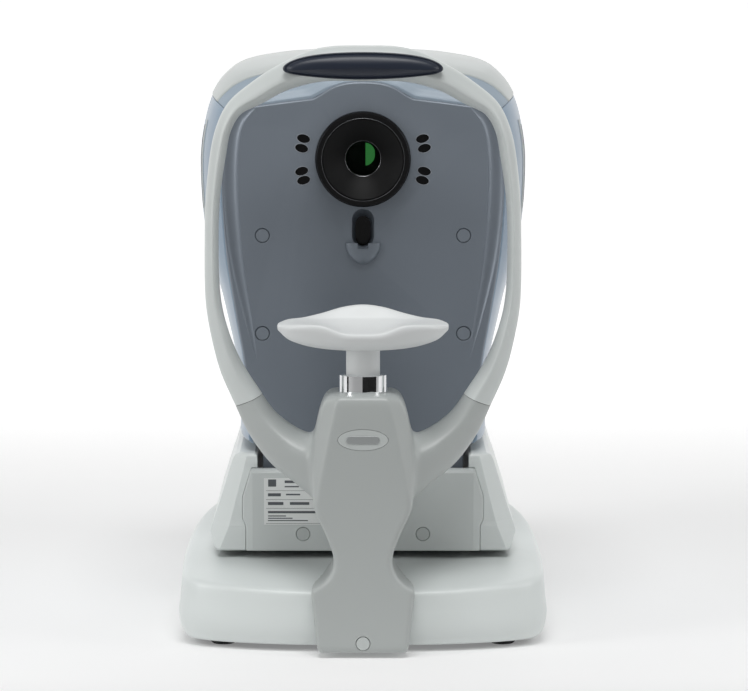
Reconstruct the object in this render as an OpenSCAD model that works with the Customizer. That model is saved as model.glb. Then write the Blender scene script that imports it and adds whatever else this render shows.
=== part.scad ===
// Table-top eye measuring instrument: base with chin rest column and forehead arch,
// and a cross-sliding stage that carries a lifting measuring head.
// Millimetres, +X to the right as the patient sees it, -Y towards the patient, +Z up.
// The origin is on the table, under the middle of the instrument.

/* [Overall] */
// Width across the base
base_w = 283; // [280:1:286]
// Height of the forehead arch above the table
arch_top_z = 457; // [455:1:459]
// Distance from the middle to the front of the column
column_front = 252; // [250:0.5:254]
// Distance from the middle to the back of the instrument
rear_end = 252; // [250:0.5:256]
// Wall thickness of the moulded covers
wall = 3; // [2.6:0.1:3.2]

/* [Base] */
// Distance from the middle to the front of the base
base_front = 232; // [230:0.5:234]
// Distance from the middle to the back of the base
base_back = 226; // [222:0.5:228]
// Height of the flat top of the base
base_top_z = 62; // [61:0.1:62.5]
// Height of the front ridge of the base
base_ridge_z = 46; // [44:0.5:48]
// Height of the lower edge of the base cover
base_lip_z = 4.5; // [4:0.1:5]
// Thickness of the steel floor plate
floor_t = 3; // [2.5:0.1:3.5]
// Diameter of a rubber foot
foot_d = 20; // [18:1:24]
// Tapped table fixing holes, hole to hole across and along
fixing_pitch = [160, 300]; // [140:1:320]
// Core diameter of the tapped table fixing holes
fixing_d = 5; // [4.2:0.1:6.8]

/* [Slides] */
// Diameter of the guide rods of both slides
rod_d = 10; // [9:0.5:10.5]
// Radial running clearance of a bush on its rod
running = 0.05; // [0.03:0.01:0.08]
// Height of the left-right guide rods
x_rod_z = 43; // [42:0.5:44]
// Height of the fore-aft guide rods
y_rod_z = 82; // [81.5:0.5:82.5]

/* [Column and chin rest] */
// Distance from the middle to the axis of the chin rest
chin_axis = 218; // [217:0.5:219]
// Diameter of the chin rest shaft
shaft_d = 25.5; // [25:0.1:26]
// Diameter of the bright collar
collar_d = 37; // [36:0.5:38]
// Height of the top of the column
column_top_z = 198; // [197:0.5:199]
// Height of the bright collar
collar_h = 14; // [13:0.5:15]
// Height of the underside of the chin cup
cup_bottom_z = 228; // [227:0.5:230]
// Width of the chin cup
cup_w = 129; // [125:1:132]
// Diameter of the chin rest lift screw
chin_screw_d = 8; // [7:0.5:9]

/* [Stage] */
// Height of the lower edge of the stage covers
stage_bottom_z = 65.3; // [65:0.1:65.8]
// Distance from the middle to the front panel
stage_front = 158; // [157:0.5:159]
// Height of the top of the front panel
panel_top_z = 129; // [128:0.5:130]
// Height of the towers beside the head
tower_top_z = 140; // [139:0.5:141]
// Height of the deck on the operator's side
deck_z = 105; // [104:0.5:106]

/* [Head] */
// Distance from the middle to the flat of the face plate
face_front = 138; // [137:0.5:139]
// Distance from the middle to the back of the head
head_back = 125; // [124:0.5:126]
// Height of the optical axis
lens_z = 368; // [366:0.5:370]
// Diameter of the black ring round the lens
lens_ring_d = 73.2; // [72:0.2:74]
// Diameter of the clear aperture
aperture_d = 26.8; // [26:0.2:28]
// Diameter of the lift guide posts
post_d = 14; // [13:0.5:15]
// Diameter of the head lift screw
lift_screw_d = 10; // [9:0.5:11]

/* [Monitor] */
// Width of the monitor housing
monitor_w = 212; // [206:1:216]
// Height of the monitor housing
monitor_h = 164; // [160:1:166]
// Thickness of the monitor housing
monitor_t = 24; // [22:0.5:25]

/* [Joystick and controls] */
// Sideways place of the joystick
joystick_x = -35; // [-38:0.5:-32]
// Fore-aft place of the joystick
joystick_y = 200; // [198:0.5:202]
// Height of the point the joystick turns about
joystick_pivot_z = 84; // [83.5:0.5:84.5]
// Diameter of the joystick grip
grip_d = 30; // [28:0.5:32]
// Diameter of a chin rest key
key_d = 12; // [11:0.5:13]

/* [Hidden] */
$fn = 64;

gap = 0.3;              // between neighbouring covers
eps = 0.01;             // overlap that keeps a union or a cut clean
cap_r = 5;              // plugs over the fixing screws
cap_gap = 0.15;         // between a plug and its hole
rod_r = rod_d / 2;
bush_r = rod_r + running;

// ---------------------------------------------------------------- outlines

// A list in the opposite order
function backwards(p) = [for (i = [len(p) - 1 : -1 : 0]) p[i]];

// A closed outline from its right half, listed from one point on the middle line to the other
function both_sides(p) = concat(p, [for (q = backwards(p)) if (q[0] > eps) [-q[0], q[1]]]);

// Corner cutting: each pass replaces every corner by two points on its sides
function soften(p, passes) = passes == 0 ? p : soften(
    [for (i = [0 : len(p) - 1]) let (a = p[i], b = p[(i + 1) % len(p)])
        each [0.75 * a + 0.25 * b, 0.25 * a + 0.75 * b]], passes - 1);

// The same outline drawn smaller or larger about a centre
function about(p, centre, factor) = [for (q = p) centre + factor * (q - centre)];

// A rectangle between two corners, its own corners rounded
function rounded(low, high, r) = [for (c = [[1, 1, 0], [0, 1, 90], [0, 0, 180], [1, 0, 270]], a = [0 : 15 : 90])
    [c[0] == 1 ? high[0] - r : low[0] + r, c[1] == 1 ? high[1] - r : low[1] + r]
        + r * [cos(c[2] + a), sin(c[2] + a)]];

// Point on a smooth curve through a list of stations, t from 0 to len(p) - 1
function station(p, i) = p[min(max(i, 0), len(p) - 1)];
function along(p, t) = let (i = min(floor(t), len(p) - 2), u = t - i,
        a = station(p, i - 1), b = station(p, i), c = station(p, i + 1), d = station(p, i + 2))
    0.5 * (2 * b + (c - a) * u + (2 * a - 5 * b + 4 * c - d) * u * u
        + (3 * b - a - 3 * c + d) * u * u * u);

// ---------------------------------------------------------------- shape helpers

// Drawn in X and Z, between two values of Y
module along_y(y0, y1) {
    translate([0, y1, 0]) rotate([90, 0, 0]) linear_extrude(y1 - y0) children();
}

// Drawn in Y and Z, between two values of X
module along_x(x0, x1) {
    translate([x0, 0, 0]) rotate([90, 0, 90]) linear_extrude(x1 - x0) children();
}

// Drawn in X and Y, between two values of Z
module along_z(z0, z1) {
    translate([0, 0, z0]) linear_extrude(z1 - z0) children();
}

// Cylinders along the two level axes
module rod_x(r, x0, x1, y, z) {
    translate([x0, y, z]) rotate([0, 90, 0]) cylinder(r = r, h = x1 - x0);
}
module rod_y(r, y0, y1, x, z) {
    translate([x, y1, z]) rotate([90, 0, 0]) cylinder(r = r, h = y1 - y0);
}

// A box between two corners
module block(low, high) {
    translate(low) cube(high - low);
}

// On the left and on the right
module pair() {
    children();
    mirror([1, 0, 0]) children();
}

// A closed skin over rings of equal length, all listed the same way round
module loft(rings) {
    n = len(rings[0]);
    last = len(rings) - 1;
    polyhedron(
        points = [for (r = rings) each r],
        faces = concat(
            [[for (i = [0 : n - 1]) i]],
            [for (k = [0 : last - 1], i = [0 : n - 1]) let (j = (i + 1) % n)
                each [[k * n + i, (k + 1) * n + i, (k + 1) * n + j],
                      [k * n + i, (k + 1) * n + j, k * n + j]]],
            [[for (i = [n - 1 : -1 : 0]) last * n + i]]),
        convexity = 6);
}

// A skin open at the first rings and closed at the last: outer rings, then inner rings
module cup_skin(outer, inner) {
    n = len(outer[0]);
    last = len(outer) - 1;
    b = n * len(outer);
    deep = len(inner) - 1;
    polyhedron(
        points = concat([for (r = outer) each r], [for (r = inner) each r]),
        faces = concat(
            [for (i = [0 : n - 1]) let (j = (i + 1) % n) each [[i, j, b + j], [i, b + j, b + i]]],
            [for (k = [0 : last - 1], i = [0 : n - 1]) let (j = (i + 1) % n)
                each [[k * n + i, (k + 1) * n + i, (k + 1) * n + j],
                      [k * n + i, (k + 1) * n + j, k * n + j]]],
            [[for (i = [n - 1 : -1 : 0]) last * n + i]],
            [for (k = [0 : deep - 1], i = [0 : n - 1]) let (j = (i + 1) % n)
                each [[b + k * n + i, b + (k + 1) * n + j, b + (k + 1) * n + i],
                      [b + k * n + i, b + k * n + j, b + (k + 1) * n + j]]],
            [[for (i = [0 : n - 1]) b + deep * n + i]]),
        convexity = 6);
}

// An outline drawn in X and Z, placed at one Y
function ring_at(p, y) = [for (q = p) [q[0], y, q[1]]];

// Oval section across a bar whose middle line runs mostly in X and Z.
// s = [x, y, z, half width, half depth], dir = its direction in X and Z.
bar_sides = 16;
function bar_ring(s, dir) = let (n = [-dir[1], dir[0]] / norm(dir))
    [for (i = [0 : bar_sides - 1]) let (a = -360 * i / bar_sides, c = cos(a), d = sin(a),
            w = s[3] * sign(c) * pow(abs(c), 0.85), h = s[4] * sign(d) * pow(abs(d), 0.85))
        [s[0] + n[0] * w, s[1] + h, s[2] + n[1] * w]];
module swept_bar(stations, steps) {
    n = (len(stations) - 1) * steps;
    loft([for (k = [0 : n]) let (t = k / steps, s = along(stations, t),
            a = along(stations, max(t - 0.05, 0)), b = along(stations, min(t + 0.05, len(stations) - 1)))
        bar_ring(s, [b[0] - a[0], b[2] - a[2]])]);
}

// ---------------------------------------------------------------- base

base_half = base_w / 2;
base_plan = soften(both_sides([
    [0, -base_front], [44, -base_front], [88, -base_front + 8], [122, -base_front + 24],
    [base_half - 3.5, -190], [base_half, -164], [base_half, -20], [base_half - 6, 60],
    [124, 120], [112, 185], [92, base_back - 3], [70, base_back], [0, base_back]]), 2);
base_side = [[-240, base_lip_z], [-240, base_ridge_z - 1.5], [-160, base_top_z - 2],
    [-110, base_top_z], [110, base_top_z], [190, base_top_z - 5], [240, base_top_z - 18],
    [240, base_lip_z]];
base_section = soften(both_sides([[0, base_lip_z], [base_half - 9, base_lip_z],
    [base_half, 20], [base_half, 52], [base_half - 5, 61], [base_half - 18, 68], [0, 68]]), 2);
slot_half = [67, 43];   // opening in the top for the neck of the cross slide
inlet_at = [62, 30];    // power inlet, in X and Z
switch_at = [20, 30];   // power switch, in X and Z

module base_body(inset) {
    k = 1 - inset / base_half;
    intersection() {
        along_z(base_lip_z - 10 * sign(inset), base_top_z + 1) polygon(about(base_plan, [0, 0], k));
        along_x(-base_half, base_half)
            polygon([for (q = base_side) [q[0], q[1] - (q[1] > 20 ? 1 : 3) * inset]]);
        along_y(-240, 240) polygon(
            [for (q = base_section) [k * q[0], q[1] - (q[1] < 20 ? 8 * sign(inset) : 0)]]);
    }
}

module base_cover() color("gainsboro") difference() {
    base_body(0);
    base_body(wall);
    block([-slot_half[0], -slot_half[1], 30], [slot_half[0], slot_half[1], 80]);
    block([inlet_at[0] - 14, 200, inlet_at[1] - 10.2], [inlet_at[0] + 14, 240, inlet_at[1] + 10.2]);
    block([switch_at[0] - 7, 200, switch_at[1] - 11], [switch_at[0] + 7, 240, switch_at[1] + 11]);
}

rail_half = 100;        // to the inside of the brackets of the left-right rods
rail_y = 60;
module base_chassis() color("silver") {
    difference() {
        along_z(base_lip_z + 0.5, base_lip_z + 0.5 + floor_t)
            polygon(about(base_plan, [0, 0], 1 - (wall + 7) / base_half));
        for (x = [-1, 1], y = [-1, 1])
            translate([x * fixing_pitch[0] / 2, y * fixing_pitch[1] / 2, 0])
                cylinder(d = fixing_d, h = 20);
    }
    pair() for (s = [-1, 1]) difference() {
        block([rail_half, s * rail_y - 12, base_lip_z + floor_t],
            [rail_half + 8, s * rail_y + 12, x_rod_z + 11]);
        rod_x(rod_r + 0.02, 80, 130, s * rail_y, x_rod_z);
    }
}

foot_places = [[-107, -190], [107, -190], [-92, 180], [92, 180]];
module rubber_feet() color("#202224") for (p = foot_places) translate([p[0], p[1], 0])
    rotate_extrude() polygon([[0, 0], [foot_d / 2 - 1.5, 0], [foot_d / 2, 1.5],
        [foot_d / 2 - 0.5, base_lip_z + 0.5], [0, base_lip_z + 0.5]]);

module x_rails() color("lightsteelblue") for (s = [-1, 1])
    rod_x(rod_r, -rail_half - 7, rail_half + 7, s * rail_y, x_rod_z);

module power_supply() color("darkgray") {
    block([-70, -190, 8], [70, -104, 40]);
    for (x = [-48, 0, 48]) block([x - 12, -186, 40 - eps], [x + 12, -108, 45]);
}

// Mains inlet: an open socket with three blades in it
module power_inlet() color("#25272a") {
    difference() {
        union() {
            block([inlet_at[0] - 13.7, base_back - 22, inlet_at[1] - 9.9],
                  [inlet_at[0] + 13.7, base_back, inlet_at[1] + 9.9]);
            block([inlet_at[0] - 16, base_back + 0.2, inlet_at[1] - 12],
                  [inlet_at[0] + 16, base_back + 2, inlet_at[1] + 12]);
            block([inlet_at[0] - 13.7, base_back - 1, inlet_at[1] - 9.9],
                  [inlet_at[0] + 13.7, base_back + 1, inlet_at[1] + 9.9]);
        }
        block([inlet_at[0] - 12, base_back - 18, inlet_at[1] - 8],
              [inlet_at[0] + 12, base_back + 5, inlet_at[1] + 8]);
    }
    for (x = [-7, 0, 7]) block([inlet_at[0] + x - 1, base_back - 18 - eps, inlet_at[1] - (x == 0 ? 0 : 3) - 2],
        [inlet_at[0] + x + 1, base_back - 3, inlet_at[1] - (x == 0 ? 0 : 3) + 2]);
}

// Rocker: a barrel in the wall with a shallow V-shaped face
module power_switch() color("#25272a") {
    along_x(switch_at[0] - 6.5, switch_at[0] + 6.5)
        polygon([[base_back - 6, 24], [base_back - 6, 36], [base_back + 2.6, 39.4],
            [base_back + 0.6, 30], [base_back + 3.4, 21.2], [base_back - 1, 21]]);
}

// ---------------------------------------------------------------- column, arms and chin rest

// Front view of the column: shoulders, waist and flared foot
column_half = [[0, 3.8], [33, 3.8], [35.5, 8], [38.6, 50], [37.5, 52.5], [29, 55], [22.6, 66], [22.2, 76],
    [27, 93], [37, 113], [36.5, 125], [33, 150], [30.5, 185], [29.5, 194], [26, 198], [0, 198]];
column_face = soften(both_sides([for (q = column_half)
    [q[0], q[1] > 190 ? q[1] + column_top_z - 198 : q[1]]]), 1);
// Side view of the column: lower part hangs before the base, upper part stands over it
column_side = [[-column_front, 3.8], [-column_front, 140], [-column_front + 4, 194],
    [-column_front + 12, 200], [-190, 200], [-188, 190], [-186, 56.9], [-base_front - 1, 47.4],
    [-base_front - 1, 3.8]];
// Middle of the right arm from the column to its joint with the arch
arm_stations = [[18, -222, 132, 24, 20], [38, -219, 143, 20.5, 19], [58, -212, 154, 17, 17],
    [75, -207, 170.5, 13.3, 14.5], [86.6, -204, 189.3, 10.9, 12]];
well_r = 16;            // bore that holds the chin rest drive
badge_z = 165.8;

module column_cover() color("#d3d8d6") difference() {
    union() {
        intersection() {
            along_y(-column_front, -180) polygon(column_face);
            along_x(-45, 45) polygon(column_side);
        }
        pair() swept_bar(arm_stations, 2);
    }
    translate([0, -chin_axis, 62]) cylinder(r = well_r, h = 150);
    translate([0, -column_front + 1, badge_z]) rotate([90, 0, 0])
        scale([1.9, 0.81, 1]) cylinder(r = 10, h = 5);
    rod_y(cap_r + cap_gap, -column_front - 1, -column_front + 3, 0, 11.5);
    // joint faces of the arms
    pair() translate([86.6, 0, 189.3]) rotate([0, 24, 0]) block([-30, -240, -0.1], [30, -170, 40]);
}

module column_screw_cap() color("#c4cac8") rod_y(cap_r, -column_front, -column_front + 2.9, 0, 11.5);

module badge_plate() color("#9aa09f") translate([0, -column_front + 0.9, badge_z]) rotate([90, 0, 0])
    scale([1.87, 0.78, 1]) cylinder(r = 10, h = 0.8);

module at_chin_axis(z) {
    translate([0, -chin_axis, z]) children();
}

module chinrest_collar() color("white") at_chin_axis(column_top_z) rotate_extrude() polygon([
    [shaft_d / 2 + 0.4, 0], [collar_d / 2, 0], [collar_d / 2, collar_h - 0.8],
    [collar_d / 2 - 0.8, collar_h], [shaft_d / 2 + 1.2, collar_h], [shaft_d / 2 + 0.4, collar_h - 0.8]]);

guide_h = 44;
module chinrest_guide() color("burlywood") at_chin_axis(column_top_z - guide_h) difference() {
    cylinder(r = well_r - 0.05, h = guide_h - 0.2);
    translate([0, 0, -1]) cylinder(r = shaft_d / 2 + running, h = guide_h + 2);
}

module chinrest_motor() color("dimgray") at_chin_axis(62.2) {
    cylinder(r = well_r - 0.1, h = 26);
    translate([0, 0, 26 - eps]) cylinder(r = 11, h = 4);
}

chin_screw_z = 92.4;
module chinrest_screw() color("silver") at_chin_axis(chin_screw_z) {
    difference() {
        cylinder(d = chin_screw_d, h = 89);
        // flat at the free end
        block([-5, chin_screw_d / 2 - 1, 80], [5, chin_screw_d, 90]);
    }
}

shaft_bottom_z = 118;
module chinrest_shaft() color("whitesmoke") at_chin_axis(shaft_bottom_z) difference() {
    cylinder(d = shaft_d, h = cup_bottom_z + 6 - shaft_bottom_z);
    translate([0, 0, -1]) cylinder(d = chin_screw_d + 6, h = 100);
    translate([0, 0, -1]) cylinder(r = 9.5, h = 13);
}

module chinrest_nut() color("goldenrod") at_chin_axis(shaft_bottom_z - 3) difference() {
    union() {
        cylinder(r = 9.45, h = 14.9);
        cylinder(r = 12, h = 2.9);
    }
    translate([0, 0, -1]) cylinder(r = chin_screw_d / 2 + running, h = 20);
}

// Chin cup: a boat with a dished top and a lip along its far edge.
// u runs from 0 in the middle to 1 at a wing tip.
function blend_at(u, a, b, c) = u < 0.5 ? a + (b - a) * (0.5 - 0.5 * cos(360 * u))
    : b + (c - b) * (0.5 - 0.5 * cos(360 * (u - 0.5)));
function cup_ring(x) = let (u = abs(x) / (cup_w / 2), round_end = sqrt(max(1 - pow(u, 6), 0.02)),
        yf = blend_at(u, -32, -24, -12) * round_end, yr = blend_at(u, 29, 22, 12) * round_end,
        floor_z = 19 * (1 - sqrt(max(1 - pow(u, 2.6), 0.01))) + 2 * (1 - round_end),
        front_z = blend_at(u, 13.5, 20, 23.5), rear_z = blend_at(u, 32.5, 26, 23.5),
        dish = blend_at(u, 3, 1.5, 0.3), mid_z = 0.5 * (front_z + rear_z) - dish)
    [[x, yf, front_z - 1.5], [x, 0.55 * yf, floor_z + 1], [x, 0.55 * yr, floor_z + 1.2],
     [x, yr, rear_z - 1.5], [x, 0.93 * yr, rear_z], [x, 0.4 * yr, mid_z + 0.3 * (rear_z - mid_z)],
     [x, 0.4 * yf, 0.5 * (mid_z + front_z) - dish], [x, 0.95 * yf, front_z]];
cup_steps = 12;
module chinrest_cup() color("whitesmoke") at_chin_axis(cup_bottom_z) difference() {
    loft([for (k = [0 : cup_steps]) backwards(cup_ring(-cup_w / 2 * cos(180 * k / cup_steps)))]);
    translate([0, 0, -1]) cylinder(d = shaft_d + 0.1, h = 7.05);
}

// ---------------------------------------------------------------- forehead arch

// From the joint with the right arm, up the leg, round the corner and along the brow
arch_stations = [[87.1, -203.8, 190.4, 10.9, 12], [99.5, -202, 213.5, 8.9, 11], [108, -200, 238, 7, 10],
    [113.4, -198, 265, 5.9, 10], [114.6, -197, 300, 5.3, 10], [113.6, -196, 340, 5.4, 10],
    [109, -196, 375, 6.6, 10], [105.6, -196, 397, 7.2, 10], [97, -196, 412.5, 8.6, 10],
    [81, -197, 424, 10.2, 10], [60, -199, 435.5, 11.2, 10], [32, -201, arch_top_z - 14.4, 12.6, 10],
    [0, -202, arch_top_z - 13.5, 13.4, 10]];
arch_path = concat(arch_stations,
    [for (s = backwards(arch_stations)) if (s[0] > 0) [-s[0], s[1], s[2], s[3], s[4]]]);
module forehead_arch() color("#d3d8d6") difference() {
    swept_bar(arch_path, 2);
    pair() translate([86.6, 0, 189.3]) rotate([0, 24, 0]) block([-30, -240, -40], [30, -170, 0.2]);
    along_y(-220, -208.5) polygon(pad_outline(0.3));
}

pad_half = [60, 10.3];
pad_z = arch_top_z - 14.6;
function pad_outline(grow) = [for (i = [0 : 47]) let (a = 7.5 * i, c = cos(a), s = sin(a))
    [(pad_half[0] + grow) * sign(c) * pow(abs(c), 0.8),
        pad_z + (pad_half[1] + grow) * sign(s) * pow(abs(s), 1.05)]];
module forehead_pad() color("#26304a") along_y(-218, -208.6) polygon(pad_outline(0));

// ---------------------------------------------------------------- slides

module x_carriage() color("slategray") {
    difference() {
        union() {
            for (s = [-1, 1]) block([-30, s * rail_y - 11, x_rod_z - 10], [30, s * rail_y + 11, 57]);
            block([-30, -52, 50], [30, 52, 57]);
            block([-20, -40, 56], [20, 40, 72]);
            block([-60, -82, 71], [60, 82, 75]);
            for (x = [-50, 50], s = [-1, 1]) block([x - 10, s * 74 - 6, 74], [x + 10, s * 74 + 6, y_rod_z + 8]);
        }
        for (s = [-1, 1]) rod_x(bush_r, -40, 40, s * rail_y, x_rod_z);
        for (x = [-50, 50]) rod_y(rod_r + 0.02, -90, 90, x, y_rod_z);
    }
}

module y_rails() color("lightsteelblue") for (x = [-50, 50]) rod_y(rod_r, -79, 79, x, y_rod_z);

bench_z = 93;           // underside of the stage's floor plate
key_x = -86;            // chin rest keys, in X and along Y
key_places = [178, 200];
module stage_chassis() color("slategray") difference() {
    union() {
        block([-78, -146, bench_z], [78, 134, bench_z + 4]);
        block([-88, 118, 76], [86, 228, 79]);
        block([-78, 118, 76], [78, 122, bench_z + 1]);
        for (x = [-50, 50]) block([x - 11, -27, y_rod_z - 6.4], [x + 11, 27, bench_z + 1]);
        // lugs for the joystick gimbal
        for (s = [-1, 1]) block([joystick_x + s * 16 - 1.6, joystick_y - 4, 78],
            [joystick_x + s * 16 + 1.6, joystick_y + 4, joystick_pivot_z + 3.5]);
        // switch posts under the chin rest keys
        for (y = key_places) translate([key_x, y, 78]) cylinder(r = 3, h = 15);
    }
    for (x = [-50, 50]) rod_y(bush_r, -40, 40, x, y_rod_z);
    translate([joystick_x, joystick_y, 70]) cylinder(r = 13, h = 9.2);
    rod_x(1.55, joystick_x - 20, joystick_x + 20, joystick_y, joystick_pivot_z);
}

// ---------------------------------------------------------------- stage covers

stage_back = rear_end - 12;
stage_plan = soften(both_sides([[0, -stage_front], [90, -stage_front], [106, -stage_front + 7],
    [118, -130], [119, -110], [119, 110], [114, 170], [104, stage_back - 12], [88, stage_back],
    [0, stage_back]]), 1);
seam = [93.6, 91, 84.5];    // half width of the front panel above and below its jog, and the jog
// Right-hand cross-section of a tower, outer outline then inner
tower_outer = [[seam[1], stage_bottom_z], [113.6, stage_bottom_z], [119, 79], [112, 100], [101.5, 134],
    [97, tower_top_z], [84.5, tower_top_z], [82, tower_top_z - 3], [82, stage_bottom_z]];

module front_panel_shape() {
    polygon(both_sides([[0, stage_bottom_z], [seam[1], stage_bottom_z], [seam[1], seam[2]],
        [seam[0], seam[2] + 6], [seam[0], panel_top_z - 22], [seam[0] - 7, panel_top_z], [0, panel_top_z]]));
}

module stage_front_cover() color("#ccd2d0") difference() {
    union() {
        intersection() {
            along_y(-stage_front, -stage_front + wall) front_panel_shape();
            along_z(60, 150) polygon(stage_plan);
        }
        block([-81, -stage_front + 1, panel_top_z - wall], [81, -stage_front + 8, panel_top_z]);
        // feet that stand on the bench
        pair() block([60, -stage_front + 1, bench_z + 4], [78, -stage_front + 14, bench_z + 10]);
    }
    pair() rod_y(cap_r + cap_gap, -stage_front - 1, -stage_front + 2.2, 46.4, 78.6);
}

module stage_screw_caps() color("#c4cac8")
    pair() rod_y(cap_r, -stage_front - 0.3, -stage_front + 2.1, 46.4, 78.6);

module rating_label() color("white")
    block([-76.6, -stage_front - 0.3, 86], [-26, -stage_front - eps, 122.5]);

module tower_shell() difference() {
    intersection() {
        along_y(-stage_front, 118) polygon(tower_outer);
        along_z(60, 150) polygon(stage_plan);
    }
    // hollow, open below
    intersection() {
        along_y(-stage_front + wall + 3, 114) polygon([[85, 60], [110.6, 60], [116, 79], [109, 100],
            [98.5, 133], [96, tower_top_z - wall], [85, tower_top_z - wall]]);
        along_z(50, 150) polygon(about(stage_plan, [0, 40], 0.973));
    }
    // room for the front panel
    along_y(-stage_front - 1, -stage_front + wall + gap) offset(delta = gap) front_panel_shape();
    block([0, -stage_front - 1, panel_top_z - wall - gap], [82.2, -stage_front + 10, panel_top_z + 20]);
    block([70, -150, 70], [90, 200, bench_z + 5]);
}

module stage_right_cover() color("#d3d8d6") tower_shell();
module stage_left_cover() color("#d3d8d6") mirror([1, 0, 0]) tower_shell();

deck_front = 118.5;
printer_low = [30, 152];    // outside of the printer housing, in X and Y
printer_high = [98, 232];
printer_top = 121;
bay_low = [33, 158];        // inside of the paper bay
bay_high = [95, 214];
stage_side_rear = [[deck_front, stage_bottom_z], [deck_front, deck_z + 3], [140, deck_z],
    [stage_back - 14, deck_z - 3], [stage_back, deck_z - 14], [stage_back, stage_bottom_z]];

module stage_rear_cover() color("#d3d8d6") difference() {
    union() {
        intersection() {
            along_z(stage_bottom_z, deck_z + 4) polygon(stage_plan);
            along_x(-120, 120) polygon(stage_side_rear);
            along_y(100, 260)
                polygon(both_sides([[0, 60], [113.6, 65], [119, 79], [112, 100], [104, 110], [0, 110]]));
        }
        along_z(90, printer_top) translate(printer_low) square(printer_high - printer_low);
    }
    difference() {
        intersection() {
            along_z(stage_bottom_z - 5, deck_z - wall) polygon(about(stage_plan, [0, 40], 0.972));
            along_x(-116, 116) polygon([[deck_front - 1, 55], [deck_front - 1, deck_z],
                [140, deck_z - wall], [stage_back - 15, deck_z - wall - 3], [stage_back - wall, deck_z - 16],
                [stage_back - wall, 55]]);
            along_y(100, 260) polygon(both_sides([[0, 55], [110, 55], [116, 79], [109, 100], [0, 104]]));
        }
    }
    along_z(80, printer_top + 1) translate(bay_low) square(bay_high - bay_low);
    along_z(80, printer_top - wall) translate([bay_low[0], 210]) square([bay_high[0] - bay_low[0], 19]);
    // slot the paper comes out of
    block([35, 213, printer_top - 5], [93, 219, printer_top + 1]);
    translate([joystick_x, joystick_y, 90]) cylinder(r = 14, h = 30);
    for (y = key_places) translate([key_x, y, 90]) cylinder(r = key_d / 2 + 0.4, h = 30);
    rod_y(5.3, stage_back - 10, stage_back + 5, 64, 84);
}

// ---------------------------------------------------------------- head lift

lift_at = [60, 30];     // lift posts, in X and Y
bench_top = bench_z + 4;
module lift_posts() color("lightsteelblue") for (x = [-1, 1])
    translate([x * lift_at[0], lift_at[1], bench_top]) cylinder(d = post_d, h = 143);

module lift_motor() color("dimgray") {
    block([-21, lift_at[1] - 21, bench_top + eps], [21, lift_at[1] + 21, 134]);
    translate([0, lift_at[1], 134 - eps]) cylinder(r = 11, h = 2);
}

module lift_screw() color("silver") translate([0, lift_at[1], 136.3]) {
    difference() {
        cylinder(d = lift_screw_d, h = 94);
        // flat at the free end
        block([-6, lift_screw_d / 2 - 1, 84], [6, lift_screw_d, 95]);
    }
}

// ---------------------------------------------------------------- printer

module printer_mechanism() color("dimgray") difference() {
    union() {
        block([bay_low[0] + 1, 219.5, 80], [bay_high[0] - 1, 227, 116]);
        block([bay_low[0] + 1, 160, 79.3], [bay_high[0] - 1, 227, 82]);
        pair_roll_ends();
    }
    rod_x(3.3, 30, 100, 185, roll_z);
}
roll_z = 102;
module pair_roll_ends() for (x = [bay_low[0] + 0.5, bay_high[0] - 2.5])
    block([x, 179, 79.3], [x + 2, 191, roll_z + 7]);

module paper_roll() color("white") difference() {
    union() {
        rod_x(17.5, 36.2, 91.8, 185, roll_z);
        rod_x(3.2, 33.9, 94.1, 185, roll_z);
    }
}

door_hinge = [155, printer_top + 2.6];
module printer_door() color("#ccd2d0") union() {
    along_x(printer_low[0] + 1, printer_high[0] - 1) polygon([[door_hinge[0] + 3, printer_top + 0.4],
        [door_hinge[0] + 1, printer_top + 1], [door_hinge[0] + 1, printer_top + 4.4],
        [175, printer_top + 5], [208, printer_top + 4.4], [212.6, printer_top + 2],
        [212.6, printer_top + 0.4]]);
    rod_x(1.9, printer_low[0] + 1, printer_high[0] - 1, door_hinge[0], door_hinge[1]);
}

// ---------------------------------------------------------------- joystick and keys

module at_joystick(z) {
    translate([joystick_x, joystick_y, z]) children();
}

module joystick_gimbal() color("silver") at_joystick(joystick_pivot_z) {
    difference() {
        translate([0, 0, -2.5]) cylinder(r = 11.5, h = 5);
        translate([0, 0, -4]) cylinder(r = 8, h = 8);
        rod_y(1.55, -13, 13, 0, 0);
    }
    for (s = [-1, 1]) rod_x(1.5, s > 0 ? 11 : -17.2, s > 0 ? 17.2 : -11, 0, 0);
}

dome_r = 34;            // cap over the hole the lever comes out of
module joystick_lever() color("#2b2d30") at_joystick(joystick_pivot_z) {
    rotate_extrude() polygon(concat([[0, -4], [5, -4], [5, dome_r - 3]],
        [for (a = [78 : -5.5 : 56]) (dome_r - 2) * [cos(a), sin(a)]],
        [for (a = [56 : 5.5 : 78]) dome_r * [cos(a), sin(a)]],
        [[5.5, dome_r + 0.5], [5.5, 46.8], [0, 46.8]]));
    rod_y(1.5, -11, 11, 0, 0);
}

// Grip with a waist for the fingers, hollow for the rod and the button
grip_z = joystick_pivot_z + 56;
module joystick_grip() color("#2b2d30") at_joystick(grip_z) rotate_extrude() polygon([[0, -9.2], [5.5, -9.2],
    [grip_d / 2 - 2, -9.2], [grip_d / 2 - 2, -0.2], [9, -0.2], [9, 14.2],
    [grip_d / 2 - 2, 14.2], [grip_d / 2 - 1, 18],
    [grip_d / 2 - 3.5, 30], [grip_d / 2 - 1.5, 42], [grip_d / 2 - 3, 47], [10.4, 48.5], [8.4, 48.5], [8.4, 41],
    [0, 41]]);

module joystick_ring() color("#3a3d41") at_joystick(grip_z + 0.2) difference() {
    cylinder(r = grip_d / 2 + 3, h = 13.6);
    translate([0, 0, -1]) cylinder(r = 9 + running, h = 16);
    for (k = [0 : 23]) rotate([0, 0, 15 * k])
        translate([grip_d / 2 + 3.4, 0, -1]) cylinder(r = 1.1, h = 16, $fn = 16);
}

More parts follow.
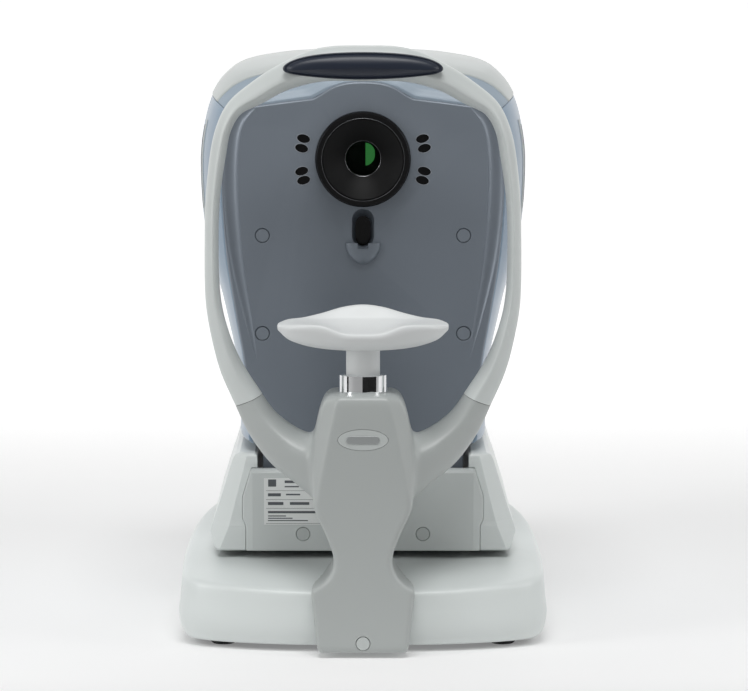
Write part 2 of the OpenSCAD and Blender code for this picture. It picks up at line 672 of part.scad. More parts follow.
module measure_button() color("silver") at_joystick(grip_z + 44.2) rotate_extrude()
    polygon([[0, 0], [8, 0], [8, 5.6], [6.6, 6.8], [3, 7.4], [0, 7.5]]);

module key(y) {
    translate([key_x, y, deck_z - 9.5]) rotate_extrude()
        polygon([[0, 0], [key_d / 2, 0], [key_d / 2, 9.4], [key_d / 2 - 1, 10.4], [0, 10.9]]);
}
module chin_up_button() color("#8d949b") key(key_places[0]);
module chin_down_button() color("#8d949b") key(key_places[1]);

module stage_lock_knob() color("#3a3d41") {
    difference() {
        rod_y(11.5, stage_back + 0.3, rear_end, 64, 84);
        for (k = [0 : 11]) translate([64, 0, 84]) rotate([0, 30 * k, 0])
            rod_y(1.6, stage_back - 1, rear_end + 1, 12.4, 0);
    }
    rod_y(5, stage_back - 7, stage_back + 1, 64, 84);
}

// ---------------------------------------------------------------- head

// Right half of the head's front view at its widest, bottom to top
head_half = [[0, 146], [60, 146.5], [94, 148], [97.5, 160], [98.5, 190], [102, 215], [107, 238], [113, 263],
    [121, 288],
    [126, 315], [128.5, 345], [128.5, 372], [125, 395], [119, 415], [109, 430], [94, 440], [66, 445.5],
    [42, 447.4], [20, 448], [0, 448.3]];
// Right half of the face plate, bottom to top, with as many points
face_half = [[0, 146], [50, 146], [85, 146], [88, 160], [90, 190], [93, 215], [97, 238], [101, 262], [105, 288],
    [107.5, 315], [109, 345], [109, 370], [107, 390], [101, 402], [83, 409], [60, 412], [38.3, 415],
    [26, 422.5],
    [14, 426.5], [0, 427.4]];
head_centre = [0, 300];
function mix(a, b, u) = [for (i = [0 : len(a) - 1]) (1 - u) * a[i] + u * b[i]];
// [Y, how far from face outline to widest outline, size]
front_stations = [[-face_front + 4.3, 0.06, 1], [-124, 0.4, 1], [-100, 0.8, 1], [-60, 1, 1], [10, 1, 1],
    [60 - gap, 1, 0.985]];
rear_stations = [[60, 1, 0.985], [92, 1, 0.955], [112, 1, 0.92], [head_back, 1, 0.86]];
function head_outline(s) = about(both_sides(mix(face_half, head_half, s[1])), head_centre, s[2]);

// Places along a list of points, counted in points
function on_line(p, t) = let (i = min(floor(t), len(p) - 2)) (1 - t + i) * p[i] + (t - i) * p[i + 1];
function stretch(p, t0, t1) = concat([on_line(p, t0)], [for (i = [ceil(t0) : floor(t1)]) p[i]],
    [on_line(p, t1)]);

// A strip of skin: each ring lists its inner line and then its outer line backwards. Both sides
// are split along the same diagonals, so that the wall keeps its thickness, and so are the ends.
module strip(rings) {
    n = len(rings[0]);
    last = len(rings) - 1;
    polyhedron(
        points = [for (r = rings) each r],
        faces = concat(
            [for (i = [0 : n / 2 - 2]) each [[i, i + 1, n - 2 - i], [i, n - 2 - i, n - 1 - i]]],
            [for (k = [0 : last - 1], i = [0 : n - 1]) let (j = (i + 1) % n, a = k * n, b = a + n)
                each i < n / 2 ? [[a + i, b + i, b + j], [a + i, b + j, a + j]]
                               : [[a + i, b + i, a + j], [a + j, b + i, b + j]]],
            [for (i = [0 : n / 2 - 2]) let (a = last * n)
                each [[a + i, a + n - 2 - i, a + i + 1], [a + i, a + n - 1 - i, a + n - 2 - i]]]),
        convexity = 6);
}

// A strip of the head's skin, from t0 to t1 round its outline
module head_strip(t0, t1, stations) {
    strip([for (s = stations) let (outer = stretch(head_outline(s), t0, t1),
            inner = about(outer, head_centre, 1 - wall / 118))
        ring_at(backwards(concat(outer, backwards(inner))), s[0])]);
}

skirt_t = 1.6;          // lower edge of the side covers
split_t = 13;           // joint between side and top covers
last_t = 2 * (len(head_half) - 1);
joint_t = 0.01;
module head_top_cover() color("#d3d8d6")
    head_strip(split_t + joint_t, last_t - split_t - joint_t, front_stations);
module head_right_cover() color("#8fa3b8") head_strip(skirt_t, split_t - joint_t, front_stations);
module head_left_cover() color("#8fa3b8")
    mirror([1, 0, 0]) head_strip(skirt_t, split_t - joint_t, front_stations);
module head_rear_cover() color("#d3d8d6") cup_skin(
    [for (s = rear_stations) ring_at(backwards(head_outline(s)), s[0])],
    [for (s = rear_stations) ring_at(backwards(about(head_outline(s), head_centre, 1 - wall / 118)),
        min(max(s[0], rear_stations[0][0] + 0.6), head_back - wall))]);

cap_places = [[77.8, 309], [78, 232.8]];
port_places = [[45.8, 15.8, 15], [47.3, 8.4, 15], [47.3, -9.3, -15], [45.8, -16.3, -15]];
module oval(at, semi, tilt, y0, y1) {
    translate([at[0], y1, at[1]]) rotate([90, 0, 0]) rotate([0, 0, tilt])
        scale([semi[0] / 5, semi[1] / 5, 1]) cylinder(r = 5, h = y1 - y0);
}

recess_z = 308.6;       // middle of the sensor window
module recess_shape(r) {
    translate([0, recess_z]) circle(r);
    translate([-r, recess_z]) square([2 * r, 12]);
    translate([0, recess_z + 12]) circle(r);
}

module head_face_plate() color("#7d8792") difference() {
    union() {
        along_y(-face_front, -face_front + 4) polygon(both_sides(face_half));
        along_y(-face_front, -face_front + 4) polygon([[-78, 99], [78, 99], [78, 147], [-78, 147]]);
    }
    rod_y(lens_ring_d / 2 + 0.15, -face_front - 1, -face_front + 9, 0, lens_z);
    pair() for (p = cap_places) rod_y(cap_r + cap_gap, -face_front - 1, -face_front + 2.6, p[0], p[1]);
    pair() for (p = port_places)
        oval([p[0], lens_z + p[1]], [5.3, 3.5], p[2], -face_front - 1, -face_front + 9);
    along_y(-face_front - 1, -face_front + 9) recess_shape(8.6);
    // scooped flutes down both sides
    pair() translate([0, -face_front - 1.5, 0]) rotate([-1, 0, 0])
        along_y(-0.5, 2.6) polygon([[83, 216], [97, 262], [104, 300], [106.5, 345], [101, 330], [94, 275]]);
}

module face_screw_caps() color("#737d88") pair() for (p = cap_places)
    rod_y(cap_r, -face_front - 0.3, -face_front + 2.5, p[0], p[1]);

module about_lens() {
    translate([0, 0, lens_z]) rotate([90, 0, 0]) rotate_extrude() children();
}
ring_r = lens_ring_d / 2;
hood_r = ring_r - 5;
module lens_ring() color("#101113") about_lens() polygon([[hood_r, 112], [ring_r, 112],
    [ring_r, face_front + 6.5], [ring_r - 1.2, face_front + 8], [hood_r + 1, face_front + 8],
    [hood_r, face_front + 7]]);
module lens_hood() color("#1a1b1d") about_lens() polygon([[aperture_d / 2, 118], [hood_r - 0.1, 118],
    [hood_r - 0.1, face_front + 5.5], [hood_r - 1, face_front + 5.5], [aperture_d / 2, 130]]);
module objective_lens() color("#24402c") about_lens() polygon(concat([[0, 112.5], [aperture_d / 2 - 0.2, 115]],
    [for (a = [0 : 0.2 : 1]) [(aperture_d / 2 - 0.2) * (1 - a), 126 + 3 * sqrt(1 - (1 - a) * (1 - a))]]));

module light_ports() color("#0c0d0f") pair() for (p = port_places)
    oval([p[0], lens_z + p[1]], [5.15, 3.35], p[2], -face_front + 1.6, -face_front + 8);

module sensor_lip() color("#8b949d") difference() {
    along_y(-face_front - 7, -face_front - gap) polygon(concat(
        [for (a = [0 : -12 : -180]) [13.4 * cos(a), recess_z - 5.4 + 16.4 * sin(a)]],
        [[-8, recess_z - 8.6], [0, recess_z - 9.8], [8, recess_z - 8.6]]));
    block([-4, -face_front - 9, recess_z - 12], [4, -face_front, recess_z]);
    // slope of the underside
    along_x(-20, 20) polygon([[-face_front - 9, recess_z - 12], [-face_front - 9, recess_z - 30],
        [-face_front, recess_z - 30], [-face_front - 1, recess_z - 22]]);
}

module optics_barrel() color("#34373b") {
    about_lens() polygon([[0, -62], [34, -62], [34, 108], [31, 108], [31, -56], [0, -56]]);
    block([-30, 62, lens_z - 30], [30, 96, lens_z + 30]);
}
module dichroic_splitter() color("seagreen") translate([0, -96, lens_z]) rotate([0, 0, 40])
    block([-13, -1, -22], [13, 1, 22]);

module head_chassis() color("slategray") difference() {
    union() {
        block([-78, -128, 140], [78, 92, 144]);
        for (x = [-1, 1]) translate([x * lift_at[0], lift_at[1], 140]) cylinder(d = post_d + 12, h = 46);
        translate([0, lift_at[1], 140]) cylinder(r = 12, h = 24);
        pair() block([40, -60, 143], [44, 58, lens_z + 20]);
        block([-43, -100, 325], [43, 58, 329]);
        pair() block([40, -100, 325], [44, -60, lens_z + 10]);
    }
    for (x = [-1, 1]) translate([x * lift_at[0], lift_at[1], 130]) cylinder(r = post_d / 2 + running, h = 130);
    translate([0, lift_at[1], 130]) cylinder(r = lift_screw_d / 2 + running, h = 60);
}

// ---------------------------------------------------------------- monitor

monitor_axis = [139, 424];      // tilt axis, in Y and Z
monitor_front = head_back + 6;
monitor_low_z = monitor_axis[1] + 8 - monitor_h;
pin_r = 4;
module monitor_bracket() color("#8d949b") pair() difference() {
    union() {
        block([62, head_back + gap, 410], [76, head_back + 4, 438]);
        along_x(62, 76) polygon([[head_back + 3, 412], [head_back + 3, 436], [monitor_axis[0], 434],
            [monitor_axis[0] + 7, 430], [monitor_axis[0] + 7, 418], [monitor_axis[0], 414]]);
    }
    rod_x(pin_r + running, 50, 90, monitor_axis[0], monitor_axis[1]);
}
module monitor_pin() color("silver") pair()
    rod_x(pin_r, 55, 83, monitor_axis[0], monitor_axis[1]);

module monitor_housing() color("#c4cac8") difference() {
    along_y(monitor_front, monitor_front + monitor_t) polygon(rounded([-monitor_w / 2, monitor_low_z],
        [monitor_w / 2, monitor_low_z + monitor_h], 7));
    // room for the bracket arms
    pair() block([61, monitor_front - 1, 398], [77, monitor_front + 18, 450]);
    pair() rod_x(pin_r + 0.02, 54.5, 83.5, monitor_axis[0], monitor_axis[1]);
    // recess for the screen, hollow behind it
    block([-90, monitor_front + monitor_t - 3, monitor_low_z + 14],
        [90, monitor_front + monitor_t + 1, monitor_low_z + 150]);
    block([-88, monitor_front + 3, monitor_low_z + 16], [88, monitor_front + monitor_t, 394]);
}
module monitor_screen() color("#15181c") block([-89.8, monitor_front + monitor_t - 2.9, monitor_low_z + 14.2],
    [89.8, monitor_front + monitor_t - 0.6, monitor_low_z + 149.8]);

// ---------------------------------------------------------------- assembly

base_cover();
base_chassis();
rubber_feet();
x_rails();
power_supply();
power_inlet();
power_switch();
column_cover();
column_screw_cap();
badge_plate();
chinrest_collar();
chinrest_guide();
chinrest_motor();
chinrest_screw();
chinrest_shaft();
chinrest_nut();
chinrest_cup();
forehead_arch();
forehead_pad();
x_carriage();
y_rails();
stage_chassis();
stage_front_cover();
stage_left_cover();
stage_right_cover();
stage_rear_cover();
rating_label();
stage_screw_caps();
lift_posts();
lift_motor();
lift_screw();
printer_mechanism();
printer_door();
paper_roll();
joystick_gimbal();
joystick_lever();
joystick_grip();
joystick_ring();
measure_button();
chin_up_button();
chin_down_button();
stage_lock_knob();
head_chassis();
head_face_plate();
face_screw_caps();
lens_ring();
lens_hood();
objective_lens();
light_ports();
sensor_lip();
head_top_cover();
head_left_cover();
head_right_cover();
head_rear_cover();
optics_barrel();
dichroic_splitter();
monitor_bracket();
monitor_pin();
monitor_housing();
monitor_screen();
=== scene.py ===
import math

import bmesh
import bpy
from mathutils import Matrix, Vector


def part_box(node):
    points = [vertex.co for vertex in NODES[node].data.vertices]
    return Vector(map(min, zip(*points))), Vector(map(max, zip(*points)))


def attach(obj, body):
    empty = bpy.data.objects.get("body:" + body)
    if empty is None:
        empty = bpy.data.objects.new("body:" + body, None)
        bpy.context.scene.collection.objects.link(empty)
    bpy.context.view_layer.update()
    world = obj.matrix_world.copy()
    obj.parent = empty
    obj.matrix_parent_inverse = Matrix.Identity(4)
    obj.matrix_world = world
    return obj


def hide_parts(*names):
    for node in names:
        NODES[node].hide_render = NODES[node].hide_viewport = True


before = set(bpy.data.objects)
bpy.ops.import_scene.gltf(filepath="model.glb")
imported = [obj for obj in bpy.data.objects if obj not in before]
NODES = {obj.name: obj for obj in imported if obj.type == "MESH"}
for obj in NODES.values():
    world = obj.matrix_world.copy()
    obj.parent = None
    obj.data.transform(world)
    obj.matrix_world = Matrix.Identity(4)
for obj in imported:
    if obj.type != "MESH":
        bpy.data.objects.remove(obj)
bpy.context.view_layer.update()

MM = 0.001              # everything below is in millimetres unless it says otherwise


def cad(node):
    """(low corner, high corner) of a CAD node in millimetres."""
    low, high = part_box(node)
    return [v / MM for v in low], [v / MM for v in high]


# Places read from the frame
LENS_Z = sum(v[2] for v in cad("lens_ring")) / 2
FACE_Y = cad("head_face_plate")[0][1]
CHIN_Y = sum(v[1] for v in cad("chinrest_shaft")) / 2
CUP_Z = cad("chinrest_cup")[0][2]
COLUMN_Y = cad("column_cover")[0][1]
PAD_LOW, PAD_HIGH = cad("forehead_pad")
STAGE_Y = cad("stage_front_cover")[0][1]
WALL = 3.0              # thickness of the moulded covers


# ---- curves and outlines

def both_sides(half):
    """Closed outline from its right half, listed from one middle point to the other."""
    return list(half) + [(-x, z) for x, z in reversed(half) if x > 0.01]


def soften(points, passes):
    """Corner cutting on a closed outline."""
    for _ in range(passes):
        out = []
        for i, a in enumerate(points):
            b = points[(i + 1) % len(points)]
            out.append(tuple(0.75 * p + 0.25 * q for p, q in zip(a, b)))
            out.append(tuple(0.25 * p + 0.75 * q for p, q in zip(a, b)))
        points = out
    return points


def catmull(p, t, closed=False):
    """Point on a smooth curve through p, at t counted in points."""
    n = len(p)
    if closed:
        t = t % n
        i = int(math.floor(t))
        a, b, c, d = (p[(i + k) % n] for k in (-1, 0, 1, 2))
    else:
        i = min(max(int(math.floor(t)), 0), n - 2)
        a, b, c, d = (p[min(max(i + k, 0), n - 1)] for k in (-1, 0, 1, 2))
    u = t - i
    return tuple(0.5 * (2 * q + (r - o) * u + (2 * o - 5 * q + 4 * r - s) * u * u
                        + (3 * q - o - 3 * r + s) * u ** 3) for o, q, r, s in zip(a, b, c, d))


def smooth_line(p, steps, closed=False):
    """Every stretch between two points of p split in steps."""
    count = len(p) * steps if closed else (len(p) - 1) * steps + 1
    return [catmull(p, k / steps, closed) for k in range(count)]


def even(points, n):
    """n points at equal distances along a closed outline."""
    loop = points + points[:1]
    run = [0.0]
    for a, b in zip(loop, loop[1:]):
        run.append(run[-1] + math.dist(a, b))
    out, k = [], 0
    for i in range(n):
        want = run[-1] * i / n
        while run[k + 1] < want:
            k += 1
        u = (want - run[k]) / max(run[k + 1] - run[k], 1e-9)
        out.append(tuple(q + (r - q) * u for q, r in zip(loop[k], loop[k + 1])))
    return out


def offset(points, d):
    """A closed outline moved inwards by d; d may be a list with one value a point."""
    n = len(points)
    turn = sum(points[i - 1][0] * points[i][1] - points[i][0] * points[i - 1][1] for i in range(n))
    side = 1 if turn > 0 else -1
    out = []
    for i in range(n):
        a, b = points[i - 1], points[(i + 1) % n]
        tx, tz = b[0] - a[0], b[1] - a[1]
        length = math.hypot(tx, tz) or 1
        di = d[i] if isinstance(d, (list, tuple)) else d
        out.append((points[i][0] - side * tz / length * di, points[i][1] + side * tx / length * di))
    return out


def table(x, xs, ys):
    """Straight-line look-up of x in the rows xs, ys."""
    if x <= xs[0]:
        return ys[0]
    for i in range(len(xs) - 1):
        if x <= xs[i + 1]:
            u = (x - xs[i]) / (xs[i + 1] - xs[i])
            return ys[i] + (ys[i + 1] - ys[i]) * u
    return ys[-1]


def ease(x, a, b):
    """0 before a, 1 after b, smooth between."""
    u = min(max((x - a) / (b - a), 0), 1)
    return u * u * (3 - 2 * u)


def rounded(low, high, r, steps=6):
    """Corner-rounded rectangle in a plane."""
    out = []
    for cx, cz, start in ((high[0] - r, high[1] - r, 0), (low[0] + r, high[1] - r, 90),
                          (low[0] + r, low[1] + r, 180), (high[0] - r, low[1] + r, 270)):
        for k in range(steps + 1):
            a = math.radians(start + 90 * k / steps)
            out.append((cx + r * math.cos(a), cz + r * math.sin(a)))
    return out


# ---- meshes

def raw(name, verts, faces):
    """Mesh object from points in millimetres, normals turned outwards."""
    mesh = bpy.data.meshes.new(name)
    mesh.from_pydata([tuple(c * MM for c in v) for v in verts], [], faces)
    bm = bmesh.new()
    bm.from_mesh(mesh)
    bmesh.ops.remove_doubles(bm, verts=bm.verts, dist=1e-6)
    bmesh.ops.recalc_face_normals(bm, faces=bm.faces)
    bm.to_mesh(mesh)
    bm.free()
    obj = bpy.data.objects.new(name, mesh)
    bpy.context.scene.collection.objects.link(obj)
    return obj


def loft(name, rings, loop=False):
    """Closed skin over rings; with loop the last ring joins the first."""
    n = len(rings[0])
    verts = [v for r in rings for v in r]
    faces = []
    spans = len(rings) if loop else len(rings) - 1
    for k in range(spans):
        a, b = k * n, ((k + 1) % len(rings)) * n
        for i in range(n):
            j = (i + 1) % n
            faces.append((a + i, b + i, b + j, a + j))
    if not loop:
        faces.append(tuple(range(n)))
        faces.append(tuple(range(len(verts) - 1, len(verts) - 1 - n, -1)))
    return raw(name, verts, faces)


def sheet_solid(name, outer, inner):
    """Closed solid between two equal grids of points."""
    nu, nv = len(outer), len(outer[0])
    verts = [v for row in outer for v in row] + [v for row in inner for v in row]
    b = nu * nv
    faces = []
    for i in range(nu - 1):
        for j in range(nv - 1):
            a = i * nv + j
            faces.append((a, a + 1, a + nv + 1, a + nv))
            faces.append((b + a, b + a + nv, b + a + nv + 1, b + a + 1))
    for i in range(nu - 1):
        for j in (0, nv - 1):
            a = i * nv + j
            faces.append((a, a + nv, b + a + nv, b + a))
    for j in range(nv - 1):
        for i in (0, nu - 1):
            a = i * nv + j
            faces.append((a, b + a, b + a + 1, a + 1))
    return raw(name, verts, faces)


def prism(name, axis, outline, a, b):
    """Straight solid: an outline in the two other axes, between a and b along axis."""
    def place(p, t):
        return {"x": (t, p[0], p[1]), "y": (p[0], t, p[1]), "z": (p[0], p[1], t)}[axis]
    return loft(name, [[place(p, a) for p in outline], [place(p, b) for p in outline]])


def turned(name, centre, profile, axis="y", steps=96):
    """Closed solid of revolution: profile of (radius, place along axis)."""
    rings = []
    for k in range(steps):
        t = 2 * math.pi * k / steps
        ring = []
        for r, h in profile:
            c, s = r * math.cos(t), r * math.sin(t)
            ring.append({"y": (centre[0] + c, h, centre[1] + s), "z": (centre[0] + c, centre[1] + s, h),
                         "x": (h, centre[0] + c, centre[1] + s)}[axis])
        rings.append(ring)
    return loft(name, rings, loop=True)


def baked(obj):
    """Applies the modifiers of an object."""
    graph = bpy.context.evaluated_depsgraph_get()
    mesh = bpy.data.meshes.new_from_object(obj.evaluated_get(graph))
    obj.modifiers.clear()
    old = obj.data
    obj.data = mesh
    bpy.data.meshes.remove(old)
    return obj


def boolean(obj, other, how):
    """Cuts other from obj, or adds it, and removes other."""
    m = obj.modifiers.new("join", "BOOLEAN")
    m.operation = how
    m.solver = "EXACT"
    m.object = other
    baked(obj)
    bpy.data.objects.remove(other)


def cut(obj, *others):
    for o in others:
        boolean(obj, o, "DIFFERENCE")


def sliced(obj, point, normal):
    """Removes what lies on the far side of a plane and closes the cut."""
    bm = bmesh.new()
    bm.from_mesh(obj.data)
    geom = bm.verts[:] + bm.edges[:] + bm.faces[:]
    bmesh.ops.bisect_plane(bm, geom=geom, plane_co=Vector(point) * MM, plane_no=Vector(normal),
                           clear_outer=True)
    bmesh.ops.holes_fill(bm, edges=[e for e in bm.edges if e.is_boundary])
    bmesh.ops.recalc_face_normals(bm, faces=bm.faces)
    bm.to_mesh(obj.data)
    bm.free()


def soft_edges(obj, width, angle=32, segments=3):
    """Rounds the edges sharper than angle."""
    m = obj.modifiers.new("edges", "BEVEL")
    m.width = width * MM
    m.segments = segments
    m.limit_method = "ANGLE"
    m.angle_limit = math.radians(angle)


def smooth_shade(obj, angle=35):
    obj.data.polygons.foreach_set("use_smooth", [True] * len(obj.data.polygons))
    obj.data.set_sharp_from_angle(angle=math.radians(angle))


def piece(obj, body, slot, material, *nodes, edge=0, angle=35, flat=0):
    """Finishes a piece: shading, edges, material, body, and the CAD nodes it stands for.

    Faces of more than flat square millimetres, and small ones level with the axes, stay flat.
    """
    smooth_shade(obj, angle)
    if edge:
        soft_edges(obj, edge)
    if flat:
        baked(obj)
        for f in obj.data.polygons:
            level = max(abs(c) for c in f.normal) > 0.99999
            f.use_smooth = not (level or f.area > flat * MM * MM)
    obj.data.materials.clear()
    obj.data.materials.append(material)
    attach(obj, body)
    if nodes:
        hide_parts(*nodes)


def mirrored(obj, name):
    """The same mesh on the other side of the middle plane."""
    mesh = obj.data.copy()
    mesh.transform(Matrix.Scale(-1, 4, (1, 0, 0)))
    mesh.flip_normals()
    other = bpy.data.objects.new(name, mesh)
    bpy.context.scene.collection.objects.link(other)
    return other


# ---- materials

def surface(name, colour, rough, metallic=0.0, grain=700.0, bump=0.04, spread=0.05, mottle=0.03,
            coat=0.0, coat_rough=0.1, edge_lightening=0.0, stretch=(1, 1, 1), **sockets):
    """Procedural finish: colour mottling, uneven gloss, fine grain, and lighter colour on sharp edges."""
    mat = bpy.data.materials.new(name)
    mat.use_nodes = True
    tree = mat.node_tree
    node, link = tree.nodes.new, tree.links.new
    bsdf = tree.nodes["Principled BSDF"]
    bsdf.inputs["Metallic"].default_value = metallic
    bsdf.inputs["Coat Weight"].default_value = coat
    bsdf.inputs["Coat Roughness"].default_value = coat_rough
    for socket, value in sockets.items():
        bsdf.inputs[socket.replace("_", " ")].default_value = value
    place = node("ShaderNodeTexCoord")
    scale = node("ShaderNodeMapping")
    scale.inputs["Scale"].default_value = stretch
    link(place.outputs["Object"], scale.inputs["Vector"])
    broad = node("ShaderNodeTexNoise")
    broad.inputs["Scale"].default_value = 14.0
    broad.inputs["Detail"].default_value = 4.0
    link(scale.outputs["Vector"], broad.inputs["Vector"])
    fine = node("ShaderNodeTexNoise")
    fine.inputs["Scale"].default_value = grain
    fine.inputs["Detail"].default_value = 3.0
    link(scale.outputs["Vector"], fine.inputs["Vector"])
    # colour
    mix = node("ShaderNodeMix")
    mix.data_type = "RGBA"
    mix.inputs["A"].default_value = tuple(c * (1 - mottle) for c in colour) + (1,)
    mix.inputs["B"].default_value = tuple(min(c * (1 + mottle), 1) for c in colour) + (1,)
    link(broad.outputs["Fac"], mix.inputs["Factor"])
    tone = mix.outputs["Result"]
    # colour made lighter where the surface turns sharply
    if edge_lightening:
        edge = node("ShaderNodeNewGeometry")
        sharp = node("ShaderNodeMapRange")
        sharp.inputs["From Min"].default_value = 0.53
        sharp.inputs["From Max"].default_value = 0.62
        sharp.inputs["To Max"].default_value = edge_lightening
        link(edge.outputs["Pointiness"], sharp.inputs["Value"])
        lighter_edges = node("ShaderNodeMix")
        lighter_edges.data_type = "RGBA"
        lighter_edges.inputs["B"].default_value = tuple(min(c * 1.35 + 0.05, 1) for c in colour) + (1,)
        link(sharp.outputs["Result"], lighter_edges.inputs["Factor"])
        link(tone, lighter_edges.inputs["A"])
        tone = lighter_edges.outputs["Result"]
    link(tone, bsdf.inputs["Base Color"])
    # gloss
    gloss = node("ShaderNodeMapRange")
    gloss.inputs["To Min"].default_value = max(rough - spread, 0.02)
    gloss.inputs["To Max"].default_value = min(rough + spread, 1)
    link(broad.outputs["Fac"], gloss.inputs["Value"])
    link(gloss.outputs["Result"], bsdf.inputs["Roughness"])
    # grain
    relief = node("ShaderNodeBump")
    relief.inputs["Strength"].default_value = bump
    relief.inputs["Distance"].default_value = 0.0004
    link(fine.outputs["Fac"], relief.inputs["Height"])
    link(relief.outputs["Normal"], bsdf.inputs["Normal"])
    return mat


def cover_paint(name, colour, rough=0.38, coat=0.15):
    """Satin paint of the moulded covers. The lighter and darker copies made from it are one paint with light and
    shade painted in.
    """
    return surface(name, colour, rough, grain=900, bump=0.05, mottle=0.012, edge_lightening=0.25,
                   coat=coat, coat_rough=0.3)


COVER = cover_paint("satin_cover", (0.60, 0.635, 0.625))
# lighter copy for the base and the stage: painted light where little lamp light reaches
LOW_COVER_PAINTED_LIGHT = cover_paint("satin_cover_low_painted_light", (0.69, 0.73, 0.719))
# darker copy for the head's top and back covers: painted shade against the strong top light
TOP_COVER_PAINTED_SHADE = cover_paint("satin_cover_top_painted_shade", (0.52, 0.55, 0.542))
# darker copy for the column, whose front faces the camera: painted shade
COLUMN_COVER_PAINTED_SHADE = cover_paint("satin_cover_column_painted_shade", (0.415, 0.44, 0.432), rough=0.40, coat=0.1)
FACE = surface("metallic_face_paint", (0.215, 0.245, 0.285), 0.42, metallic=0.35, grain=2600, bump=0.05,
               mottle=0.02, edge_lightening=0.3, coat=0.1, coat_rough=0.25)
RIM_PAINT = surface("port_rim_paint", (0.36, 0.39, 0.43), 0.35, metallic=0.4, grain=2000, bump=0.03)
SIDE = surface("steel_blue_gloss", (0.25, 0.33, 0.42), 0.30, grain=500, bump=0.015, mottle=0.015,
               coat=0.2, coat_rough=0.2)
BROW = surface("pale_blue_gloss", (0.32, 0.385, 0.45), 0.42, grain=500, bump=0.015, mottle=0.015)
WHITE = surface("chin_white", (0.74, 0.76, 0.76), 0.45, grain=700, bump=0.02, mottle=0.01)
PAD = surface("pad_rubber", (0.010, 0.016, 0.032), 0.42, grain=1400, bump=0.06, mottle=0.05,
              coat=0.1, coat_rough=0.3)
FOOT = surface("foot_rubber", (0.02, 0.02, 0.022), 0.75, grain=900, bump=0.3, mottle=0.1)
CHROME = surface("polished_chrome", (0.86, 0.87, 0.88), 0.045, metallic=1.0, grain=300, bump=0.004,
                 spread=0.02)
BADGE = surface("brushed_badge", (0.40, 0.42, 0.42), 0.40, metallic=0.5, grain=500, bump=0.12,
                stretch=(0.05, 1, 1), edge_lightening=0.3)
STEEL = surface("ground_steel", (0.55, 0.56, 0.57), 0.22, metallic=1.0, grain=900, bump=0.1,
                stretch=(1, 1, 0.06))
SHEET = surface("sheet_steel_paint", (0.12, 0.13, 0.14), 0.5, metallic=0.2, grain=500, bump=0.12, edge_lightening=0.3)
ALLOY = surface("machined_alloy", (0.58, 0.59, 0.60), 0.3, metallic=1.0, grain=700, bump=0.12,
                stretch=(0.1, 1, 1))
BRONZE = surface("sintered_bronze", (0.45, 0.30, 0.13), 0.45, metallic=1.0, grain=1500, bump=0.2)
MOTOR = surface("black_enamel", (0.025, 0.025, 0.028), 0.4, metallic=0.3, grain=500, bump=0.1, edge_lightening=0.3)
DARK = surface("dark_grained_plastic", (0.028, 0.029, 0.032), 0.5, grain=1300, bump=0.25, mottle=0.06, edge_lightening=0.2)
CAP = surface("cover_plug", (0.50, 0.53, 0.52), 0.42, grain=900, bump=0.05, mottle=0.02)
FACE_CAP = surface("face_plug", (0.23, 0.26, 0.30), 0.40, metallic=0.3, grain=2000, bump=0.05, mottle=0.02)
GLOSS = surface("gloss_black", (0.003, 0.003, 0.0035), 0.16, grain=400, bump=0.01, spread=0.03,
                Specular_IOR_Level=0.35)
CONE = surface("satin_black_cone", (0.004, 0.004, 0.0045), 0.55, grain=900, bump=0.04, Specular_IOR_Level=0.25)
PORT = surface("port_window", (0.003, 0.003, 0.0035), 0.12, grain=300, bump=0.01, spread=0.03,
               Specular_IOR_Level=0.3)
DARK_RIM = surface("anodised_rim", (0.20, 0.20, 0.21), 0.25, metallic=1.0, grain=700, bump=0.02)
PAPER = surface("thermal_paper", (0.86, 0.86, 0.83), 0.65, grain=1800, bump=0.08, mottle=0.02)
LABEL = surface("label_film", (0.80, 0.82, 0.81), 0.35, grain=900, bump=0.03, mottle=0.01)
INK = surface("label_ink", (0.10, 0.11, 0.12), 0.45, grain=900, bump=0.02)
KEY = surface("key_plastic", (0.26, 0.30, 0.34), 0.4, grain=900, bump=0.08, edge_lightening=0.3)
SCREEN = surface("display_glass", (0.010, 0.012, 0.016), 0.08, grain=200, bump=0.004,
                 coat=0.8, coat_rough=0.03)
# green coating of the splitter is its own colour; its emission is a painted glow, for the glass is no lamp
GREEN_PAINTED_GLOW = surface("green_coating_painted_glow", (0.06, 0.30, 0.08), 0.25, grain=300, bump=0.01,
                Emission_Color=(0.05, 0.30, 0.07, 1), Emission_Strength=0.35)
LENS_GLASS = surface("coated_lens_glass", (0.80, 0.95, 0.84), 0.03, grain=200, bump=0.002, spread=0.01,
                     Transmission_Weight=1.0, IOR=1.04)

